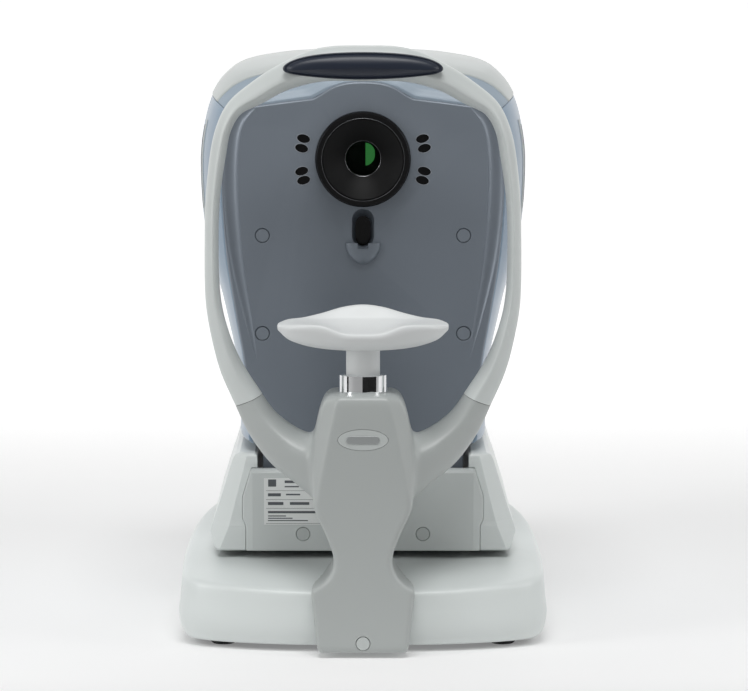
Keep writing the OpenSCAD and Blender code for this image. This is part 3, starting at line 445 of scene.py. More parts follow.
# Finish of the CAD nodes that show as they are
FINISH = {
    "rubber_feet": FOOT, "x_rails": STEEL, "y_rails": STEEL, "lift_posts": STEEL, "chinrest_screw": STEEL,
    "lift_screw": STEEL, "monitor_pin": STEEL, "base_chassis": SHEET, "x_carriage": SHEET,
    "stage_chassis": SHEET, "head_chassis": SHEET, "power_supply": ALLOY, "joystick_gimbal": ALLOY,
    "monitor_bracket": ALLOY, "measure_button": ALLOY, "chinrest_guide": BRONZE, "chinrest_nut": BRONZE,
    "chinrest_motor": MOTOR, "lift_motor": MOTOR, "optics_barrel": MOTOR, "power_inlet": DARK,
    "power_switch": DARK, "joystick_lever": DARK, "joystick_grip": DARK, "joystick_ring": DARK,
    "stage_lock_knob": DARK, "printer_mechanism": DARK, "column_screw_cap": CAP, "stage_screw_caps": CAP,
    "face_screw_caps": FACE_CAP, "lens_ring": GLOSS, "lens_hood": CONE, "light_ports": PORT,
    "objective_lens": LENS_GLASS, "paper_roll": PAPER, "chin_up_button": KEY, "chin_down_button": KEY,
    "monitor_screen": SCREEN, "chinrest_collar": CHROME, "chinrest_shaft": WHITE, "badge_plate": CAP,
    "stage_rear_cover": LOW_COVER_PAINTED_LIGHT, "printer_door": COVER, "rating_label": LABEL, "sensor_lip": FACE,
}
for node_name, finish in FINISH.items():
    for slot in NODES[node_name].material_slots:
        slot.material = finish
# Radius of the edges of the CAD nodes that show as they are
ROUNDED_NODES = {"stage_rear_cover": 1.2, "printer_door": 0.8, "column_screw_cap": 0.35,
                 "stage_screw_caps": 0.35, "face_screw_caps": 0.35, "joystick_ring": 0.4, "stage_lock_knob": 0.6,
                 "power_switch": 0.5, "power_inlet": 0.5, "monitor_bracket": 0.6}
for node_name, width in ROUNDED_NODES.items():
    soft_edges(NODES[node_name], width, angle=40, segments=2)


# ---- base cover

BASE_LOW, BASE_HIGH = cad("base_cover")
HALF, FRONT, BACK, LIP = BASE_HIGH[0], -BASE_LOW[1], BASE_HIGH[1], BASE_LOW[2]
PLAN_POINTS = 176
plan = even(soften(both_sides([
    (0, -FRONT), (46, -FRONT), (90, -FRONT + 7), (127, -FRONT + 20), (HALF - 0.5, -197), (HALF + 1.2, -165),
    (HALF + 1.2, -115), (HALF, -20), (HALF - 6, 60), (124, 120), (112, 185), (92, BACK - 3), (70, BACK),
    (0, BACK)]), 4), PLAN_POINTS)
SLOT_HALF = (67, 43)    # slot in the top that the cross slide's neck moves in


def base_top(y):
    """Height of the top along the middle plane."""
    return table(y, [-240, -232, -206, -182, -160, -135, -110, 110, 150, 190, 226, 240],
                 [43.5, 46, 51, 55.7, 59.2, 61.2, 62, 62, 60.2, 57, 49, 45])


def base_ring(inset, height):
    """height is either a level or, when negative, a depth below the top surface."""
    pts = offset(plan, inset)
    return [(x, y, height if height > 0 else base_top(y) + height) for x, y in pts]


def toward_slot(inset, t, drop):
    """Between the outline and the slot in the top."""
    ring = []
    for x, y in offset(plan, inset):
        a = math.atan2(y, x)
        k = min(SLOT_HALF[0] / max(abs(math.cos(a)), 1e-6), SLOT_HALF[1] / max(abs(math.sin(a)), 1e-6))
        sx, sy = k * math.cos(a), k * math.sin(a)
        px, py = x + (sx - x) * t, y + (sy - y) * t
        ring.append((px, py, base_top(py) - drop))
    return ring


outer = [base_ring(9.0, LIP), base_ring(6.4, LIP + 0.9), base_ring(4.0, 7.6), base_ring(2.0, 12),
         base_ring(0.7, 18), base_ring(0.3, 24), base_ring(1.2, 31),
         base_ring(2.9, -7.5), base_ring(3.3, -4.2), base_ring(4.1, -2.1), base_ring(5.6, -0.75),
         base_ring(8.0, -0.15), base_ring(11, -0.02),
         toward_slot(11, 0.25, 0), toward_slot(11, 0.5, 0), toward_slot(11, 0.75, 0),
         toward_slot(11, 0.98, 0), toward_slot(11, 1.0, 1.0)]
inner = [toward_slot(11, 1.0, WALL), toward_slot(11, 0.9, WALL), toward_slot(11, 0.5, WALL),
         toward_slot(11, 0.06, WALL), base_ring(9, -5), base_ring(7, -10),
         base_ring(4.0, 25), base_ring(6.0, 12.5), base_ring(12.5, LIP)]
base_shell = loft("base_shell", outer + inner, loop=True)
inlet_low, inlet_high = cad("power_inlet")
switch_low, switch_high = cad("power_switch")
cut(base_shell,
    prism("c", "y", rounded((inlet_low[0] + 2.2, inlet_low[2] + 2.0),
                            (inlet_high[0] - 2.2, inlet_high[2] - 2.0), 1), 205, 240),
    prism("c", "y", rounded((switch_low[0] - 0.5, 19), (switch_high[0] + 0.5, 41), 1), 205, 240))
piece(base_shell, "base", "white_cover", LOW_COVER_PAINTED_LIGHT, "base_cover", angle=50)


# ---- sections of the arch and its arms

# Prow-shaped section: first number outwards, second towards the patient
PROW = [(-1.0, -0.35), (-0.95, 0.10), (-0.72, 0.62), (-0.40, 0.95), (-0.16, 1.0), (0.30, 0.80),
        (0.78, 0.38), (1.0, -0.10), (0.93, -0.65), (0.55, -0.98), (-0.5, -1.0), (-0.9, -0.82)]
prow = smooth_line(PROW, 4, closed=True)


def swept(name, stations, steps):
    """Bar along stations (x, y, z, half width, half depth) that run in X and Z."""
    last = len(stations) - 1
    rings = []
    for k in range(last * steps + 1):
        t = k / steps
        x, y, z, w, d = catmull(stations, t)
        a, b = catmull(stations, max(t - 0.05, 0)), catmull(stations, min(t + 0.05, last))
        dx, dz = b[0] - a[0], b[2] - a[2]
        length = math.hypot(dx, dz)
        nx, nz = dz / length, -dx / length
        rings.append([(x + nx * w * n, y - d * f, z + nz * w * n) for n, f in prow])
    return loft(name, rings)


# Joint between the right arm and the arch, and the direction up the arm there
JOINT = (86.6, 0, 189.3)
JOINT_UP = (math.sin(math.radians(24)), 0, math.cos(math.radians(24)))

arm_stations = [(6, -224, 123, 25, 22), (20, -222, 132, 23.5, 20), (38, -219, 143, 20.5, 19),
                (58, -212, 154, 17, 17), (75, -207, 170.5, 13.3, 14.5), (86.6, -204, 189.3, 10.9, 12),
                (96, -202.5, 208, 9.4, 11.2)]
arch_half = [(78, -206, 175, 12.7, 14), (87.1, -203.8, 190.4, 10.9, 12), (99.5, -202, 213.5, 8.9, 11),
             (108, -200, 238, 7, 10), (113.4, -198, 265, 5.9, 10), (114.6, -197, 300, 5.3, 10),
             (113.6, -196, 340, 5.4, 10), (109.4, -196, 375, 6.0, 10), (104.9, -196, 395, 5.8, 10),
             (96.2, -196, 410.3, 6.6, 10), (80.5, -197, 421, 8.8, 10.5), (60, -199, 433, 10.0, 11),
             (32, -201, 442.6, 12.6, 11.5), (0, -202, 443.8, 13.4, 12)]
arch_path = arch_half + [(-x, y, z, w, d) for x, y, z, w, d in reversed(arch_half[:-1])]

arch = swept("arch_shell", arch_path, 10)
for side in (1, -1):
    def near_joint(along, up):
        """Point in the plane of the arch, counted from the joint with the arm."""
        return (side * (JOINT[0] + along * JOINT_UP[2] + up * JOINT_UP[0]),
                JOINT[2] - along * JOINT_UP[0] + up * JOINT_UP[2])
    cut(arch, prism("c", "y", [near_joint(-30, 0.4), near_joint(40, 0.4), near_joint(40, -70),
                               near_joint(-30, -70)], -240, -170))
piece(arch, "base", "white_cover", COVER, "forehead_arch", angle=60)
# dark core inside the joint, which closes the gap; its dark colour is painted shade in the gap
for side, word in ((1, "right"), (-1, "left")):
    shade_core = [(side * (JOINT[0] + JOINT_UP[0] * up), -204, JOINT[2] + JOINT_UP[2] * up, w * side, d)
              for w, d, up in ((10.3, 11.4, -3), (10.1, 11.2, 0), (9.9, 11.0, 3))]
    piece(swept("joint_shade_core_" + word, shade_core, 2), "base", "dark_plastic", DARK, angle=60)


# ---- column with its arms

# Half widths of the front face and of the sides, width of the chamfer between them, and how far the
# end rows are drawn in, at each level
LEVELS = [3.8, 8, 20, 35, 46, 50.5, 52.2, 54.2, 57.5, 62, 68, 74, 80, 90, 100, 108, 115, 122, 140, 166,
          183, 192, 197, 198.4]
FACE_HALF = [30.5, 32, 33, 34.5, 36, 36.3, 35.2, 31, 26.5, 22.6, 20.0, 19.3, 20.2, 23.8, 28.2, 32.2,
             34.4, 33.8, 30.5, 25.3, 21.8, 20.0, 18.5, 15]
SIDE_HALF = [33, 34.6, 35.6, 37.2, 38.6, 38.9, 37.8, 33.6, 29, 25.2, 22.6, 21.9, 22.8, 26.4, 30.8, 34.8,
             37.1, 38, 38.5, 37, 33.4, 30.3, 27.0, 22]
CHAMFER = [2.5] * 15 + [2.6, 3.2, 4.5, 7, 10, 11, 11, 11, 11]
RECESS = [1.5] + [0] * 20 + [0.3, 1.6, 5]


def column_back(z):
    """The column's foot stands in front of the base; above it the column reaches back."""
    return -233.2 + 46.2 * ease(z, 46.5, 60)


def column_ring(z):
    a, b = table(z, LEVELS, FACE_HALF), table(z, LEVELS, SIDE_HALF)
    d, r = table(z, LEVELS, CHAMFER), table(z, LEVELS, RECESS)
    yf, yb = COLUMN_Y + r, column_back(z) - r
    half = [(0, yf), (a, yf), (b, yf + d), (b, (yf + d + yb) / 2), (b - 0.5, yb), (0, yb)]
    return [(x, y, z) for x, y in both_sides(half)]


column = loft("column_shell", [column_ring(LEVELS[0] + 1.8 * k) for k in range(109)])
for side in (1, -1):
    arm = swept("arm", [(side * x, y, z, w * side, d) for x, y, z, w, d in arm_stations], 8)
    boolean(column, arm, "UNION")
m = column.modifiers.new("even", "REMESH")
m.mode = "VOXEL"
m.voxel_size = 1.3 * MM
m.adaptivity = 0.0
baked(column)
# the valley between the column and each arm is smoothed most
group = column.vertex_groups.new(name="valley")
for v in column.data.vertices:
    x, y, z = (c / MM for c in v.co)
    edge = table(z, LEVELS, SIDE_HALF)
    near = math.exp(-((abs(x) - edge - 1.5) / 5.5) ** 2)
    near *= ease(z, 112, 130) * (0.25 + 0.75 * ease(y, COLUMN_Y, COLUMN_Y + 6))
    group.add([v.index], max(near, 0.0), "REPLACE")
m = column.modifiers.new("valley", "SMOOTH")
m.iterations = 70
m.factor = 0.6
m.vertex_group = "valley"
m = column.modifiers.new("all", "SMOOTH")
m.iterations = 5
m.factor = 0.5
baked(column)
for side in (1, -1):
    sliced(column, (side * JOINT[0], 0, JOINT[2]), (side * JOINT_UP[0], 0, JOINT_UP[2]))
badge_low, badge_high = cad("badge_plate")
badge_z = (badge_low[2] + badge_high[2]) / 2
oval = [(19 * math.cos(math.pi * k / 32), badge_z + 8.1 * math.sin(math.pi * k / 32)) for k in range(64)]
cap_low, cap_high = cad("column_screw_cap")
cap_z = (cap_low[2] + cap_high[2]) / 2
cut(column,
    turned("c", (0, CHIN_Y), [(0.001, 62), (16, 62), (16, 230), (0.001, 230)], axis="z"),
    loft("c", [[(x * s, y, badge_z + (z - badge_z) * s) for x, z in oval]
               for s, y in ((1.03, COLUMN_Y - 3), (1.0, COLUMN_Y + 0.2), (0.985, COLUMN_Y + 1.2))]),
    turned("c", (0, cap_z), [(0.01, COLUMN_Y - 1), (6.6, COLUMN_Y - 1), (6.0, COLUMN_Y), (5.45, COLUMN_Y + 0.4),
                             (5.45, COLUMN_Y + 3), (0.01, COLUMN_Y + 3)], steps=64))
piece(column, "base", "white_cover", COLUMN_COVER_PAINTED_SHADE, "column_cover", angle=38)

# blank raised bar on the badge
bar = prism("badge_bar", "y", rounded((-12.5, badge_z - 2.9), (12.5, badge_z + 2.9), 2.85, 8),
            badge_low[1] - 0.5, badge_low[1] + 0.1)
piece(bar, "base", "badge_silver", BADGE, edge=0.3)


# ---- forehead pad

pad_z = (PAD_LOW[2] + PAD_HIGH[2]) / 2
pad_w, pad_h = PAD_HIGH[0], (PAD_HIGH[2] - PAD_LOW[2]) / 2
pad_outline = []
for k in range(96):
    a = 2 * math.pi * k / 96
    c, s = math.cos(a), math.sin(a)
    pad_outline.append((pad_w * c, pad_h * math.copysign(abs(s) ** 0.92, s)))
# size across, size up, and how far out, from the back of the pad to the middle of its front
PAD_RINGS = [(0.90, 0.85, 0.3), (0.985, 0.97, 0.5), (1.0, 1.0, 1.8), (1.0, 1.0, 3.6), (0.99, 0.975, 4.9),
             (0.978, 0.93, 5.4), (0.967, 0.87, 5.2), (0.962, 0.85, 4.8), (0.955, 0.83, 5.1),
             (0.945, 0.79, 6.2), (0.915, 0.68, 7.9), (0.86, 0.53, 9.0), (0.76, 0.38, 9.8),
             (0.6, 0.25, 10.3), (0.4, 0.14, 10.6), (0.2, 0.05, 10.7)]
rings = []
for sx, sz, out in PAD_RINGS:
    rings.append([(x * sx, PAD_HIGH[1] - out + 1.4 * (x * sx / pad_w) ** 2 * (out > 6),
                   pad_z + z * sz - 2.2 * abs(x / pad_w) ** 5) for x, z in pad_outline])
pad = loft("forehead_cushion", rings)
m = pad.modifiers.new("round", "SUBSURF")
m.levels = m.render_levels = 1
baked(pad)
piece(pad, "base", "pad_navy", PAD, "forehead_pad", angle=80)


# ---- chin cup

# Closed sections (y, z) at six places from the middle to a wing tip
CUP = [
    (0, [(-28.4, 12.6), (-27.6, 15.0), (-25.6, 15.9), (-12, 16.2), (0, 17.8), (11.0, 22.3), (12.4, 23.8),
         (15.4, 28.6), (18.4, 33.0), (22.4, 33.0), (25.5, 24), (21, 9), (9, 1.2), (-8, 0), (-20, 3.0),
         (-27, 9)]),
    (15, [(-28.0, 13.4), (-27.2, 15.8), (-25.4, 16.7), (-12, 16.8), (0, 18.1), (11.0, 22.3), (12.4, 23.6),
          (15.4, 27.6), (18.2, 31.2), (21.8, 31.2), (25, 23), (20.6, 8.8), (9, 1.2), (-8, 0.2),
          (-20, 3.4), (-26.8, 9.6)]),
    (30, [(-26.4, 18.8), (-25.5, 21.0), (-23.6, 21.8), (-11, 20.8), (0, 20.4), (11.0, 22.2), (12.3, 23.0),
          (14.8, 24.9), (17.2, 26.9), (20.8, 26.9), (23.5, 20), (19.2, 8.6), (8.4, 2.2), (-8, 1.4),
          (-18.8, 4.8), (-25.2, 13)]),
    (44, [(-22.9, 19.0), (-21.9, 21.2), (-20.0, 22.0), (-9.6, 21.8), (0, 21.7), (10.2, 22.5), (11.6, 22.9),
          (13.6, 23.4), (15.6, 23.8), (18.0, 23.3), (19.6, 18.4), (15.8, 9.4), (7.2, 4.6), (-7, 4.0),
          (-15.6, 7.0), (-21, 14)]),
    (56, [(-16.8, 18.2), (-15.7, 20.2), (-14.0, 21.0), (-6.8, 21.4), (0, 21.7), (6.6, 22.3), (8.4, 22.5),
          (10.4, 22.7), (12.0, 22.5), (13.6, 21.4), (13.9, 17.9), (11.4, 12.0), (5.4, 8.8), (-5, 8.4),
          (-11.2, 10.6), (-15.2, 15)]),
    (62.6, [(-8.6, 17.9), (-8.0, 19.2), (-6.8, 20.0), (-3.4, 20.5), (0, 20.7), (3, 20.9), (4.6, 20.9),
            (5.8, 20.8), (6.8, 20.3), (7.4, 19.4), (7.4, 17.8), (6.0, 15.6), (2.8, 14.6), (-2.6, 14.4),
            (-5.8, 15.0), (-7.8, 16.4)]),
]
rows = [[c for yz in section for c in yz] + [x] for x, section in CUP]
rows = [r[:-1] + [-r[-1]] for r in reversed(rows[1:])] + rows
rings = []
for r in smooth_line(rows, 7):
    rings.append([(r[-1], CHIN_Y + r[2 * i], CUP_Z + r[2 * i + 1]) for i in range(16)])


def tip(ring, out, size):
    """The end section, moved out and shrunk, to round off a wing tip."""
    cy = sum(p[1] for p in ring) / len(ring)
    cz = sum(p[2] for p in ring) / len(ring)
    return [(p[0] + out, cy + (p[1] - cy) * size, cz + (p[2] - cz) * size) for p in ring]


rings = ([tip(rings[0], -1.8, 0.4), tip(rings[0], -1.3, 0.75)] + rings
         + [tip(rings[-1], 1.3, 0.75), tip(rings[-1], 1.8, 0.4)])
cup = loft("chin_cup", rings)
m = cup.modifiers.new("round", "SUBSURF")
m.levels = m.render_levels = 2
baked(cup)
piece(cup, "chinrest", "chin_white", WHITE, "chinrest_cup", angle=80)


# ---- head skins

# Right half of the widest outline of the head and of the outline of its face, bottom to top
HEAD = [(0, 146), (60, 146), (94, 146), (97.5, 160), (98.5, 190), (102, 215), (107, 238), (113, 263),
        (121, 288), (126, 315), (128.5, 345), (128.5, 372), (125, 395), (119, 415), (109, 430), (94, 440),
        (66, 445.5), (42, 447.5), (20, 448), (0, 448)]
FACE_EDGE = [(0, 146), (50, 146), (85, 146), (88, 160), (90, 190), (93, 215), (97, 238), (101, 262), (105, 288),
             (107.5, 315), (109, 345), (109, 370), (107, 390), (101, 402), (83, 409), (60, 412), (38.3, 415),
             (26, 422.5), (14, 426.5), (0, 427.4)]
CENTRE = (0, 300)
HEAD_RADIUS = 118
TOP_T = len(HEAD) - 1
HEAD_BACK = cad("head_rear_cover")[1][1]
# Y, how far from the face's outline to the widest one, and size about the centre
STATIONS = [(FACE_Y + 4.3, 0.06, 1.0), (FACE_Y + 8, 0.22, 1.0), (-119, 0.5, 1.0), (-104, 0.76, 1.0),
            (-82, 0.94, 1.0), (-55, 1.0, 1.0), (-20, 1.0, 1.0), (15, 1.0, 0.998), (45, 1.0, 0.99),
            (60, 1.0, 0.984), (80, 1.0, 0.97), (100, 1.0, 0.945), (114, 1.0, 0.915), (121, 1.0, 0.89),
            (HEAD_BACK - 0.5, 1.0, 0.862)]


def head_point(t, mix, size, shrink=0.0):
    """t runs from 0 at the bottom of the right side, over the top (TOP_T), to 2 * TOP_T."""
    u = t if t <= TOP_T else 2 * TOP_T - t
    a = catmull(FACE_EDGE, u)
    k = min(int(u), TOP_T - 1)
    straight = tuple(p + (q - p) * (u - k) for p, q in zip(FACE_EDGE[k], FACE_EDGE[k + 1]))
    near = ease(u, 13, 14)
    a = tuple(p + (q - p) * near for p, q in zip(a, straight))
    b = catmull(HEAD, u)
    x, z = (a[i] + (b[i] - a[i]) * mix for i in (0, 1))
    if t > TOP_T:
        x = -x
    k = size * (1 - shrink / HEAD_RADIUS)
    return CENTRE[0] + x * k, CENTRE[1] + (z - CENTRE[1]) * k


def skin(name, t0, t1, y0, y1, thick=WALL, lift=0.0):
    """Shell of the head's skin between two places round it and two values of Y."""
    first, last = int(math.ceil(t0 * 4 + 0.2)), int(math.floor(t1 * 4 - 0.2))
    ts = [t0] + [k / 4 for k in range(first, last + 1)] + [t1]
    table_y = [s[0] for s in STATIONS]
    rows = 28
    grids = ([], [])
    for y in (y0 + (y1 - y0) * k / rows for k in range(rows + 1)):
        i = max(j for j in range(len(table_y)) if table_y[j] <= y + 1e-6 or j == 0)
        i = min(i, len(table_y) - 2)
        t = i + (y - table_y[i]) / (table_y[i + 1] - table_y[i])
        _, mix, size = catmull(STATIONS, min(max(t, 0), len(STATIONS) - 1))
        mix = min(max(mix, 0), 1)
        for grid, shrink in zip(grids, (-lift, thick)):
            grid.append([(p[0], y, p[1]) for p in (head_point(t, mix, size, shrink) for t in ts)])
    return sheet_solid(name, *grids)


BROW_Y = -109           # where the pale blue brow ends and the top cover begins
SKIRT = 1.6             # lower edge of the covers, in places round the head
SPLIT = 13              # joint between side and top covers
SEAM = 0.006            # half the gap at that joint
OVER = 2 * TOP_T - SPLIT
head_side = skin("head_side_right", SKIRT, SPLIT - SEAM, FACE_Y + 4.4, 59.7)
left = mirrored(head_side, "head_side_left")
piece(head_side, "head", "side_blue", SIDE, "head_right_cover", edge=0.8)
piece(left, "head", "side_blue", SIDE, "head_left_cover", edge=0.8)
# dark strip and light strip laid just over each side cover: a painted reflection of a gap on the glossy blue, not
# a real slit
side_dark_reflection = skin("side_dark_reflection_right", 9.4, 11.9, -97, -90, thick=-0.05, lift=0.5)
side_light_reflection = skin("side_light_reflection_right", 9.2, 12.1, -98.6, -97.2, thick=-0.05, lift=0.9)
piece(mirrored(side_dark_reflection, "side_dark_reflection_left"), "head", "gloss_black", CONE, angle=60)
piece(side_dark_reflection, "head", "gloss_black", CONE, angle=60)
piece(mirrored(side_light_reflection, "side_light_reflection_left"), "head", "white_cover", COVER, angle=60)
piece(side_light_reflection, "head", "white_cover", COVER, angle=60)
brow = skin("head_brow", SPLIT + SEAM, OVER - SEAM, FACE_Y + 4.4, BROW_Y)
piece(brow, "head", "side_blue", BROW, edge=0.6)
top = skin("head_top", SPLIT + SEAM, OVER - SEAM, BROW_Y + 0.5, 59.7, lift=0.6)
piece(top, "head", "white_cover", TOP_COVER_PAINTED_SHADE, "head_top_cover", edge=1.0)
rear = skin("head_back_skin", SKIRT, 2 * TOP_T - SKIRT, 60.1, HEAD_BACK - 0.6)
back_ring = [head_point(k / 4, 1.0, 0.866) for k in range(7, 146)]
back_wall = prism("head_back_wall", "y", back_ring, HEAD_BACK - 3.4, HEAD_BACK - 0.4)
boolean(rear, back_wall, "UNION")
# cooling louvres
for k in range(9):
    z = 176 + 9 * k
    cut(rear, prism("c", "y", rounded((-46, z), (46, z + 3.6), 1.7), HEAD_BACK - 8, HEAD_BACK + 5))
piece(rear, "head", "white_cover", TOP_COVER_PAINTED_SHADE, "head_rear_cover", edge=0.9)


# ---- face plate

plate_outline = both_sides([(78, 99), (78, 145.5)] + smooth_line(FACE_EDGE[2:15], 4) + [
    (60, 412), (38.6, 414.6), (33, 417.6), (26, 422.2), (20, 424.9), (14, 426.5), (7, 427.3), (0, 427.5)])
plate = loft("face_panel", [[(x, FACE_Y + y, z) for x, z in (offset(plate_outline, d) if d else plate_outline)]
                            for d, y in ((0, 4), (0, 1.5), (0.25, 0.7), (0.75, 0.2), (1.4, 0))])


def disc(x, z, r, y0, y1, sx=1.0, sz=1.0, tilt=0.0, steps=64):
    """Round or oval solid along Y."""
    pts = []
    for k in range(steps):
        a = 2 * math.pi * k / steps
        u, v = r * sx * math.cos(a), r * sz * math.sin(a)
        ct, st = math.cos(tilt), math.sin(tilt)
        pts.append((x + u * ct - v * st, z + u * st + v * ct))
    return prism("c", "y", pts, y0, y1)


ring_low, ring_high = cad("lens_ring")
RING_R = (ring_high[0] - ring_low[0]) / 2
caps = [(x * s, z) for x, z in ((77.8, 309), (78, 232.8)) for s in (1, -1)]
PORT_PLACES = ((45.8, 15.8, 15), (47.3, 8.4, 15), (47.3, -9.3, -15), (45.8, -16.3, -15))
ports = [(x * s, LENS_Z + z, math.radians(a) * s) for x, z, a in PORT_PLACES for s in (1, -1)]
SLOT_Z, SLOT_R, SLOT_RISE = 308.6, 8.7, 12.5    # keyhole window of the sensor


def arc(x, z, r, start, end):
    """Places on a circle from start to end in degrees."""
    return [(x + r * math.cos(math.radians(a)), z + r * math.sin(math.radians(a)))
            for a in range(start, end, 10)]


slot_outline = arc(0, SLOT_Z + SLOT_RISE, SLOT_R, 0, 181) + arc(0, SLOT_Z, SLOT_R, 180, 361)
# scooped flutes down both sides: x, z, half width, depth
FLUTE = [(82.6, 213, 0.4, 0.1), (86.5, 232, 2.0, 0.7), (91.5, 255, 3.6, 1.6), (96.5, 280, 5.0, 2.4),
         (100, 305, 6.0, 2.9), (102.4, 335, 6.4, 3.1), (102.6, 362, 6.2, 3.0), (100.8, 384, 6.0, 2.8),
         (96.5, 397, 5.0, 2.2), (90, 404, 3.5, 1.4), (84, 408, 1.5, 0.4)]
for side in (1, -1):
    rings = []
    for k in range(61):
        x, z, r, depth = catmull(FLUTE, k / 6)
        x2, z2 = catmull(FLUTE, min(k / 6 + 0.1, 10))[:2]
        x1, z1 = catmull(FLUTE, max(k / 6 - 0.1, 0))[:2]
        length = math.hypot(x2 - x1, z2 - z1)
        nx, nz = (z2 - z1) / length, -(x2 - x1) / length
        ball = (r * r + depth * depth) / (2 * depth)
        cy = FACE_Y - ball + depth
        ring = [(side * (x + nx * ball * math.cos(a)), cy + ball * math.sin(a), z + nz * ball * math.cos(a))
                for a in (2 * math.pi * i / 48 for i in range(48))]
        rings.append(ring)
    cut(plate, loft("c", rings))
cut(plate, disc(0, LENS_Z, RING_R + 0.35, FACE_Y - 5, FACE_Y + 9, steps=128))
for x, z in caps:
    cut(plate, turned("c", (x, z), [(0.01, FACE_Y - 1), (6.6, FACE_Y - 1), (6.0, FACE_Y), (5.5, FACE_Y + 0.4),
                                    (5.5, FACE_Y + 2.6), (0.01, FACE_Y + 2.6)], steps=64))
for x, z, a in ports:
    cut(plate, disc(x, z, 1, FACE_Y - 5, FACE_Y + 9, 5.5, 3.7, a, 40))
cut(plate, prism("c", "y", slot_outline, FACE_Y - 5, FACE_Y + 9))
piece(plate, "head", "face_blue_grey", FACE, "head_face_plate", flat=20, angle=28)

# bevelled rims of the light ports
for i, (x, z, a) in enumerate(ports):
    rings = []
    for sx, sz, y in ((5.62, 3.82, FACE_Y - 0.15), (5.15, 3.35, FACE_Y - 0.25), (5.0, 3.2, FACE_Y + 1.2),
                      (5.45, 3.65, FACE_Y + 1.2)):
        ring = []
        for k in range(40):
            t = 2 * math.pi * k / 40
            u, v = sx * math.cos(t), sz * math.sin(t)
            ring.append((x + u * math.cos(a) - v * math.sin(a), y, z + u * math.sin(a) + v * math.cos(a)))
        rings.append(ring)
    piece(loft(f"port_rim_{i + 1}", rings, loop=True), "head", "face_blue_grey", RIM_PAINT, angle=50)


# ---- sensor window and its lip

rings = []
for y, grow, drop in ((FACE_Y + 0.3, 0.0, 0), (FACE_Y + 3, -0.3, 0), (FACE_Y + 7, -1.0, 0.6),
                      (FACE_Y + 12, -1.9, 1.6), (FACE_Y + 18, -3.0, 3.0)):
    rings.append([(x * (1 + grow / SLOT_R), y, SLOT_Z + 3 - drop + (z - SLOT_Z - 3) * (1 + grow / 13))
                  for x, z in slot_outline])
back = [[(x * 1.12, y, SLOT_Z + 3 + (z - SLOT_Z - 3) * 1.08) for x, y, z in ring] for ring in reversed(rings)]
recess = loft("window_liner", rings + back, loop=True)
piece(recess, "head", "face_blue_grey", FACE, angle=60)
pupil = [(x * 0.66, FACE_Y + 17.5, SLOT_Z + (z - SLOT_Z - 3) * 0.78) for x, z in slot_outline]
piece(loft("window_glass", [pupil, [(x, y + 1.5, z) for x, y, z in pupil]]), "head", "gloss_black", GLOSS)

# Lip under the window, from its top down: height, half width, how far it stands out
BEAK = [(0.0, 13.6, 5.6), (-2.2, 13.5, 6.0), (-5, 12.9, 6.3), (-8, 11.6, 6.2), (-11, 9.6, 5.6),
        (-13.6, 7.0, 4.5), (-15.4, 4.2, 3.0), (-16.4, 1.4, 1.2)]
rings = []
for dz, w, d in smooth_line(BEAK, 3):
    ring = []
    for k in range(25):
        a = math.pi * k / 24
        ring.append((w * math.cos(a), FACE_Y - 0.2 - d * math.sin(a) ** 0.8, SLOT_Z - 5.4 + dz))
    rings.append(ring)
lip = loft("sensor_beak", rings)
cut(lip, prism("c", "y", [(-4.1, 298.9), (4.1, 298.9), (4.1, 310), (-4.1, 310)], FACE_Y - 12, FACE_Y + 5),
    prism("c", "y", arc(0, SLOT_Z, SLOT_R, 0, 360), FACE_Y - 3.5, FACE_Y + 5))
piece(lip, "head", "face_blue_grey", FACE, "sensor_lip", edge=0.5)

# thin bright rings in front of the lens
HOOD_R = RING_R - 5
bezel = [(HOOD_R - 0.1, FACE_Y - 6.4), (HOOD_R + 0.1, FACE_Y - 6.9), (HOOD_R + 0.5, FACE_Y - 7.5),
         (HOOD_R + 0.1, FACE_Y - 7.7), (HOOD_R - 0.35, FACE_Y - 7.1)]
piece(turned("lens_bezel", (0, LENS_Z), bezel, steps=128), "head", "gloss_black", DARK_RIM, angle=60)
HOLE_R = 13.4
hole_rim = [(HOLE_R - 0.3, -129.6), (HOLE_R + 0.1, -130.6), (HOLE_R + 0.5, -130.8), (HOLE_R + 0.5, -129.4)]
piece(turned("aperture_ring", (0, LENS_Z), hole_rim), "head", "gloss_black", DARK_RIM, angle=60)
# half of the opening shows green coated glass in front of a dark wall; the glass's glow is painted light
trap = [(0.05, -105.5), (15, -105.5), (15, -104), (0.05, -104)]
piece(turned("light_trap", (0, LENS_Z), trap, steps=64), "head", "gloss_black", CONE)
turns = [math.radians(a) for a in range(10, 180, 10)]
half_disc = [(1.9 + 7.2 * math.sin(a), LENS_Z + 1.9 - 8.5 * math.cos(a)) for a in turns]
half_disc = [(1.9, LENS_Z - 6.6)] + half_disc + [(1.9, LENS_Z + 10.4)]
splitter = prism("splitter_plate", "y", half_disc, -109, -107.6)
piece(splitter, "head", "coated_glass", GREEN_PAINTED_GLOW, "dichroic_splitter", edge=0.2)


# ---- stage covers

panel_low, panel_high = cad("stage_front_cover")
PANEL_TOP, STAGE_LOW = panel_high[2], panel_low[2]
seam_x, jog_x, jog_z = 93.6, 91.0, 84.5     # seam between panel and tower, and its jog low down
TOWER_TOP = cad("stage_right_cover")[1][2]

panel_half = [(jog_x - 0.3, STAGE_LOW), (jog_x - 0.3, jog_z), (seam_x - 0.3, jog_z + 6),
              (seam_x - 0.3, PANEL_TOP - 22), (seam_x - 7, PANEL_TOP)]
panel = prism("stage_panel", "y", both_sides(panel_half), STAGE_Y, STAGE_Y + 10)
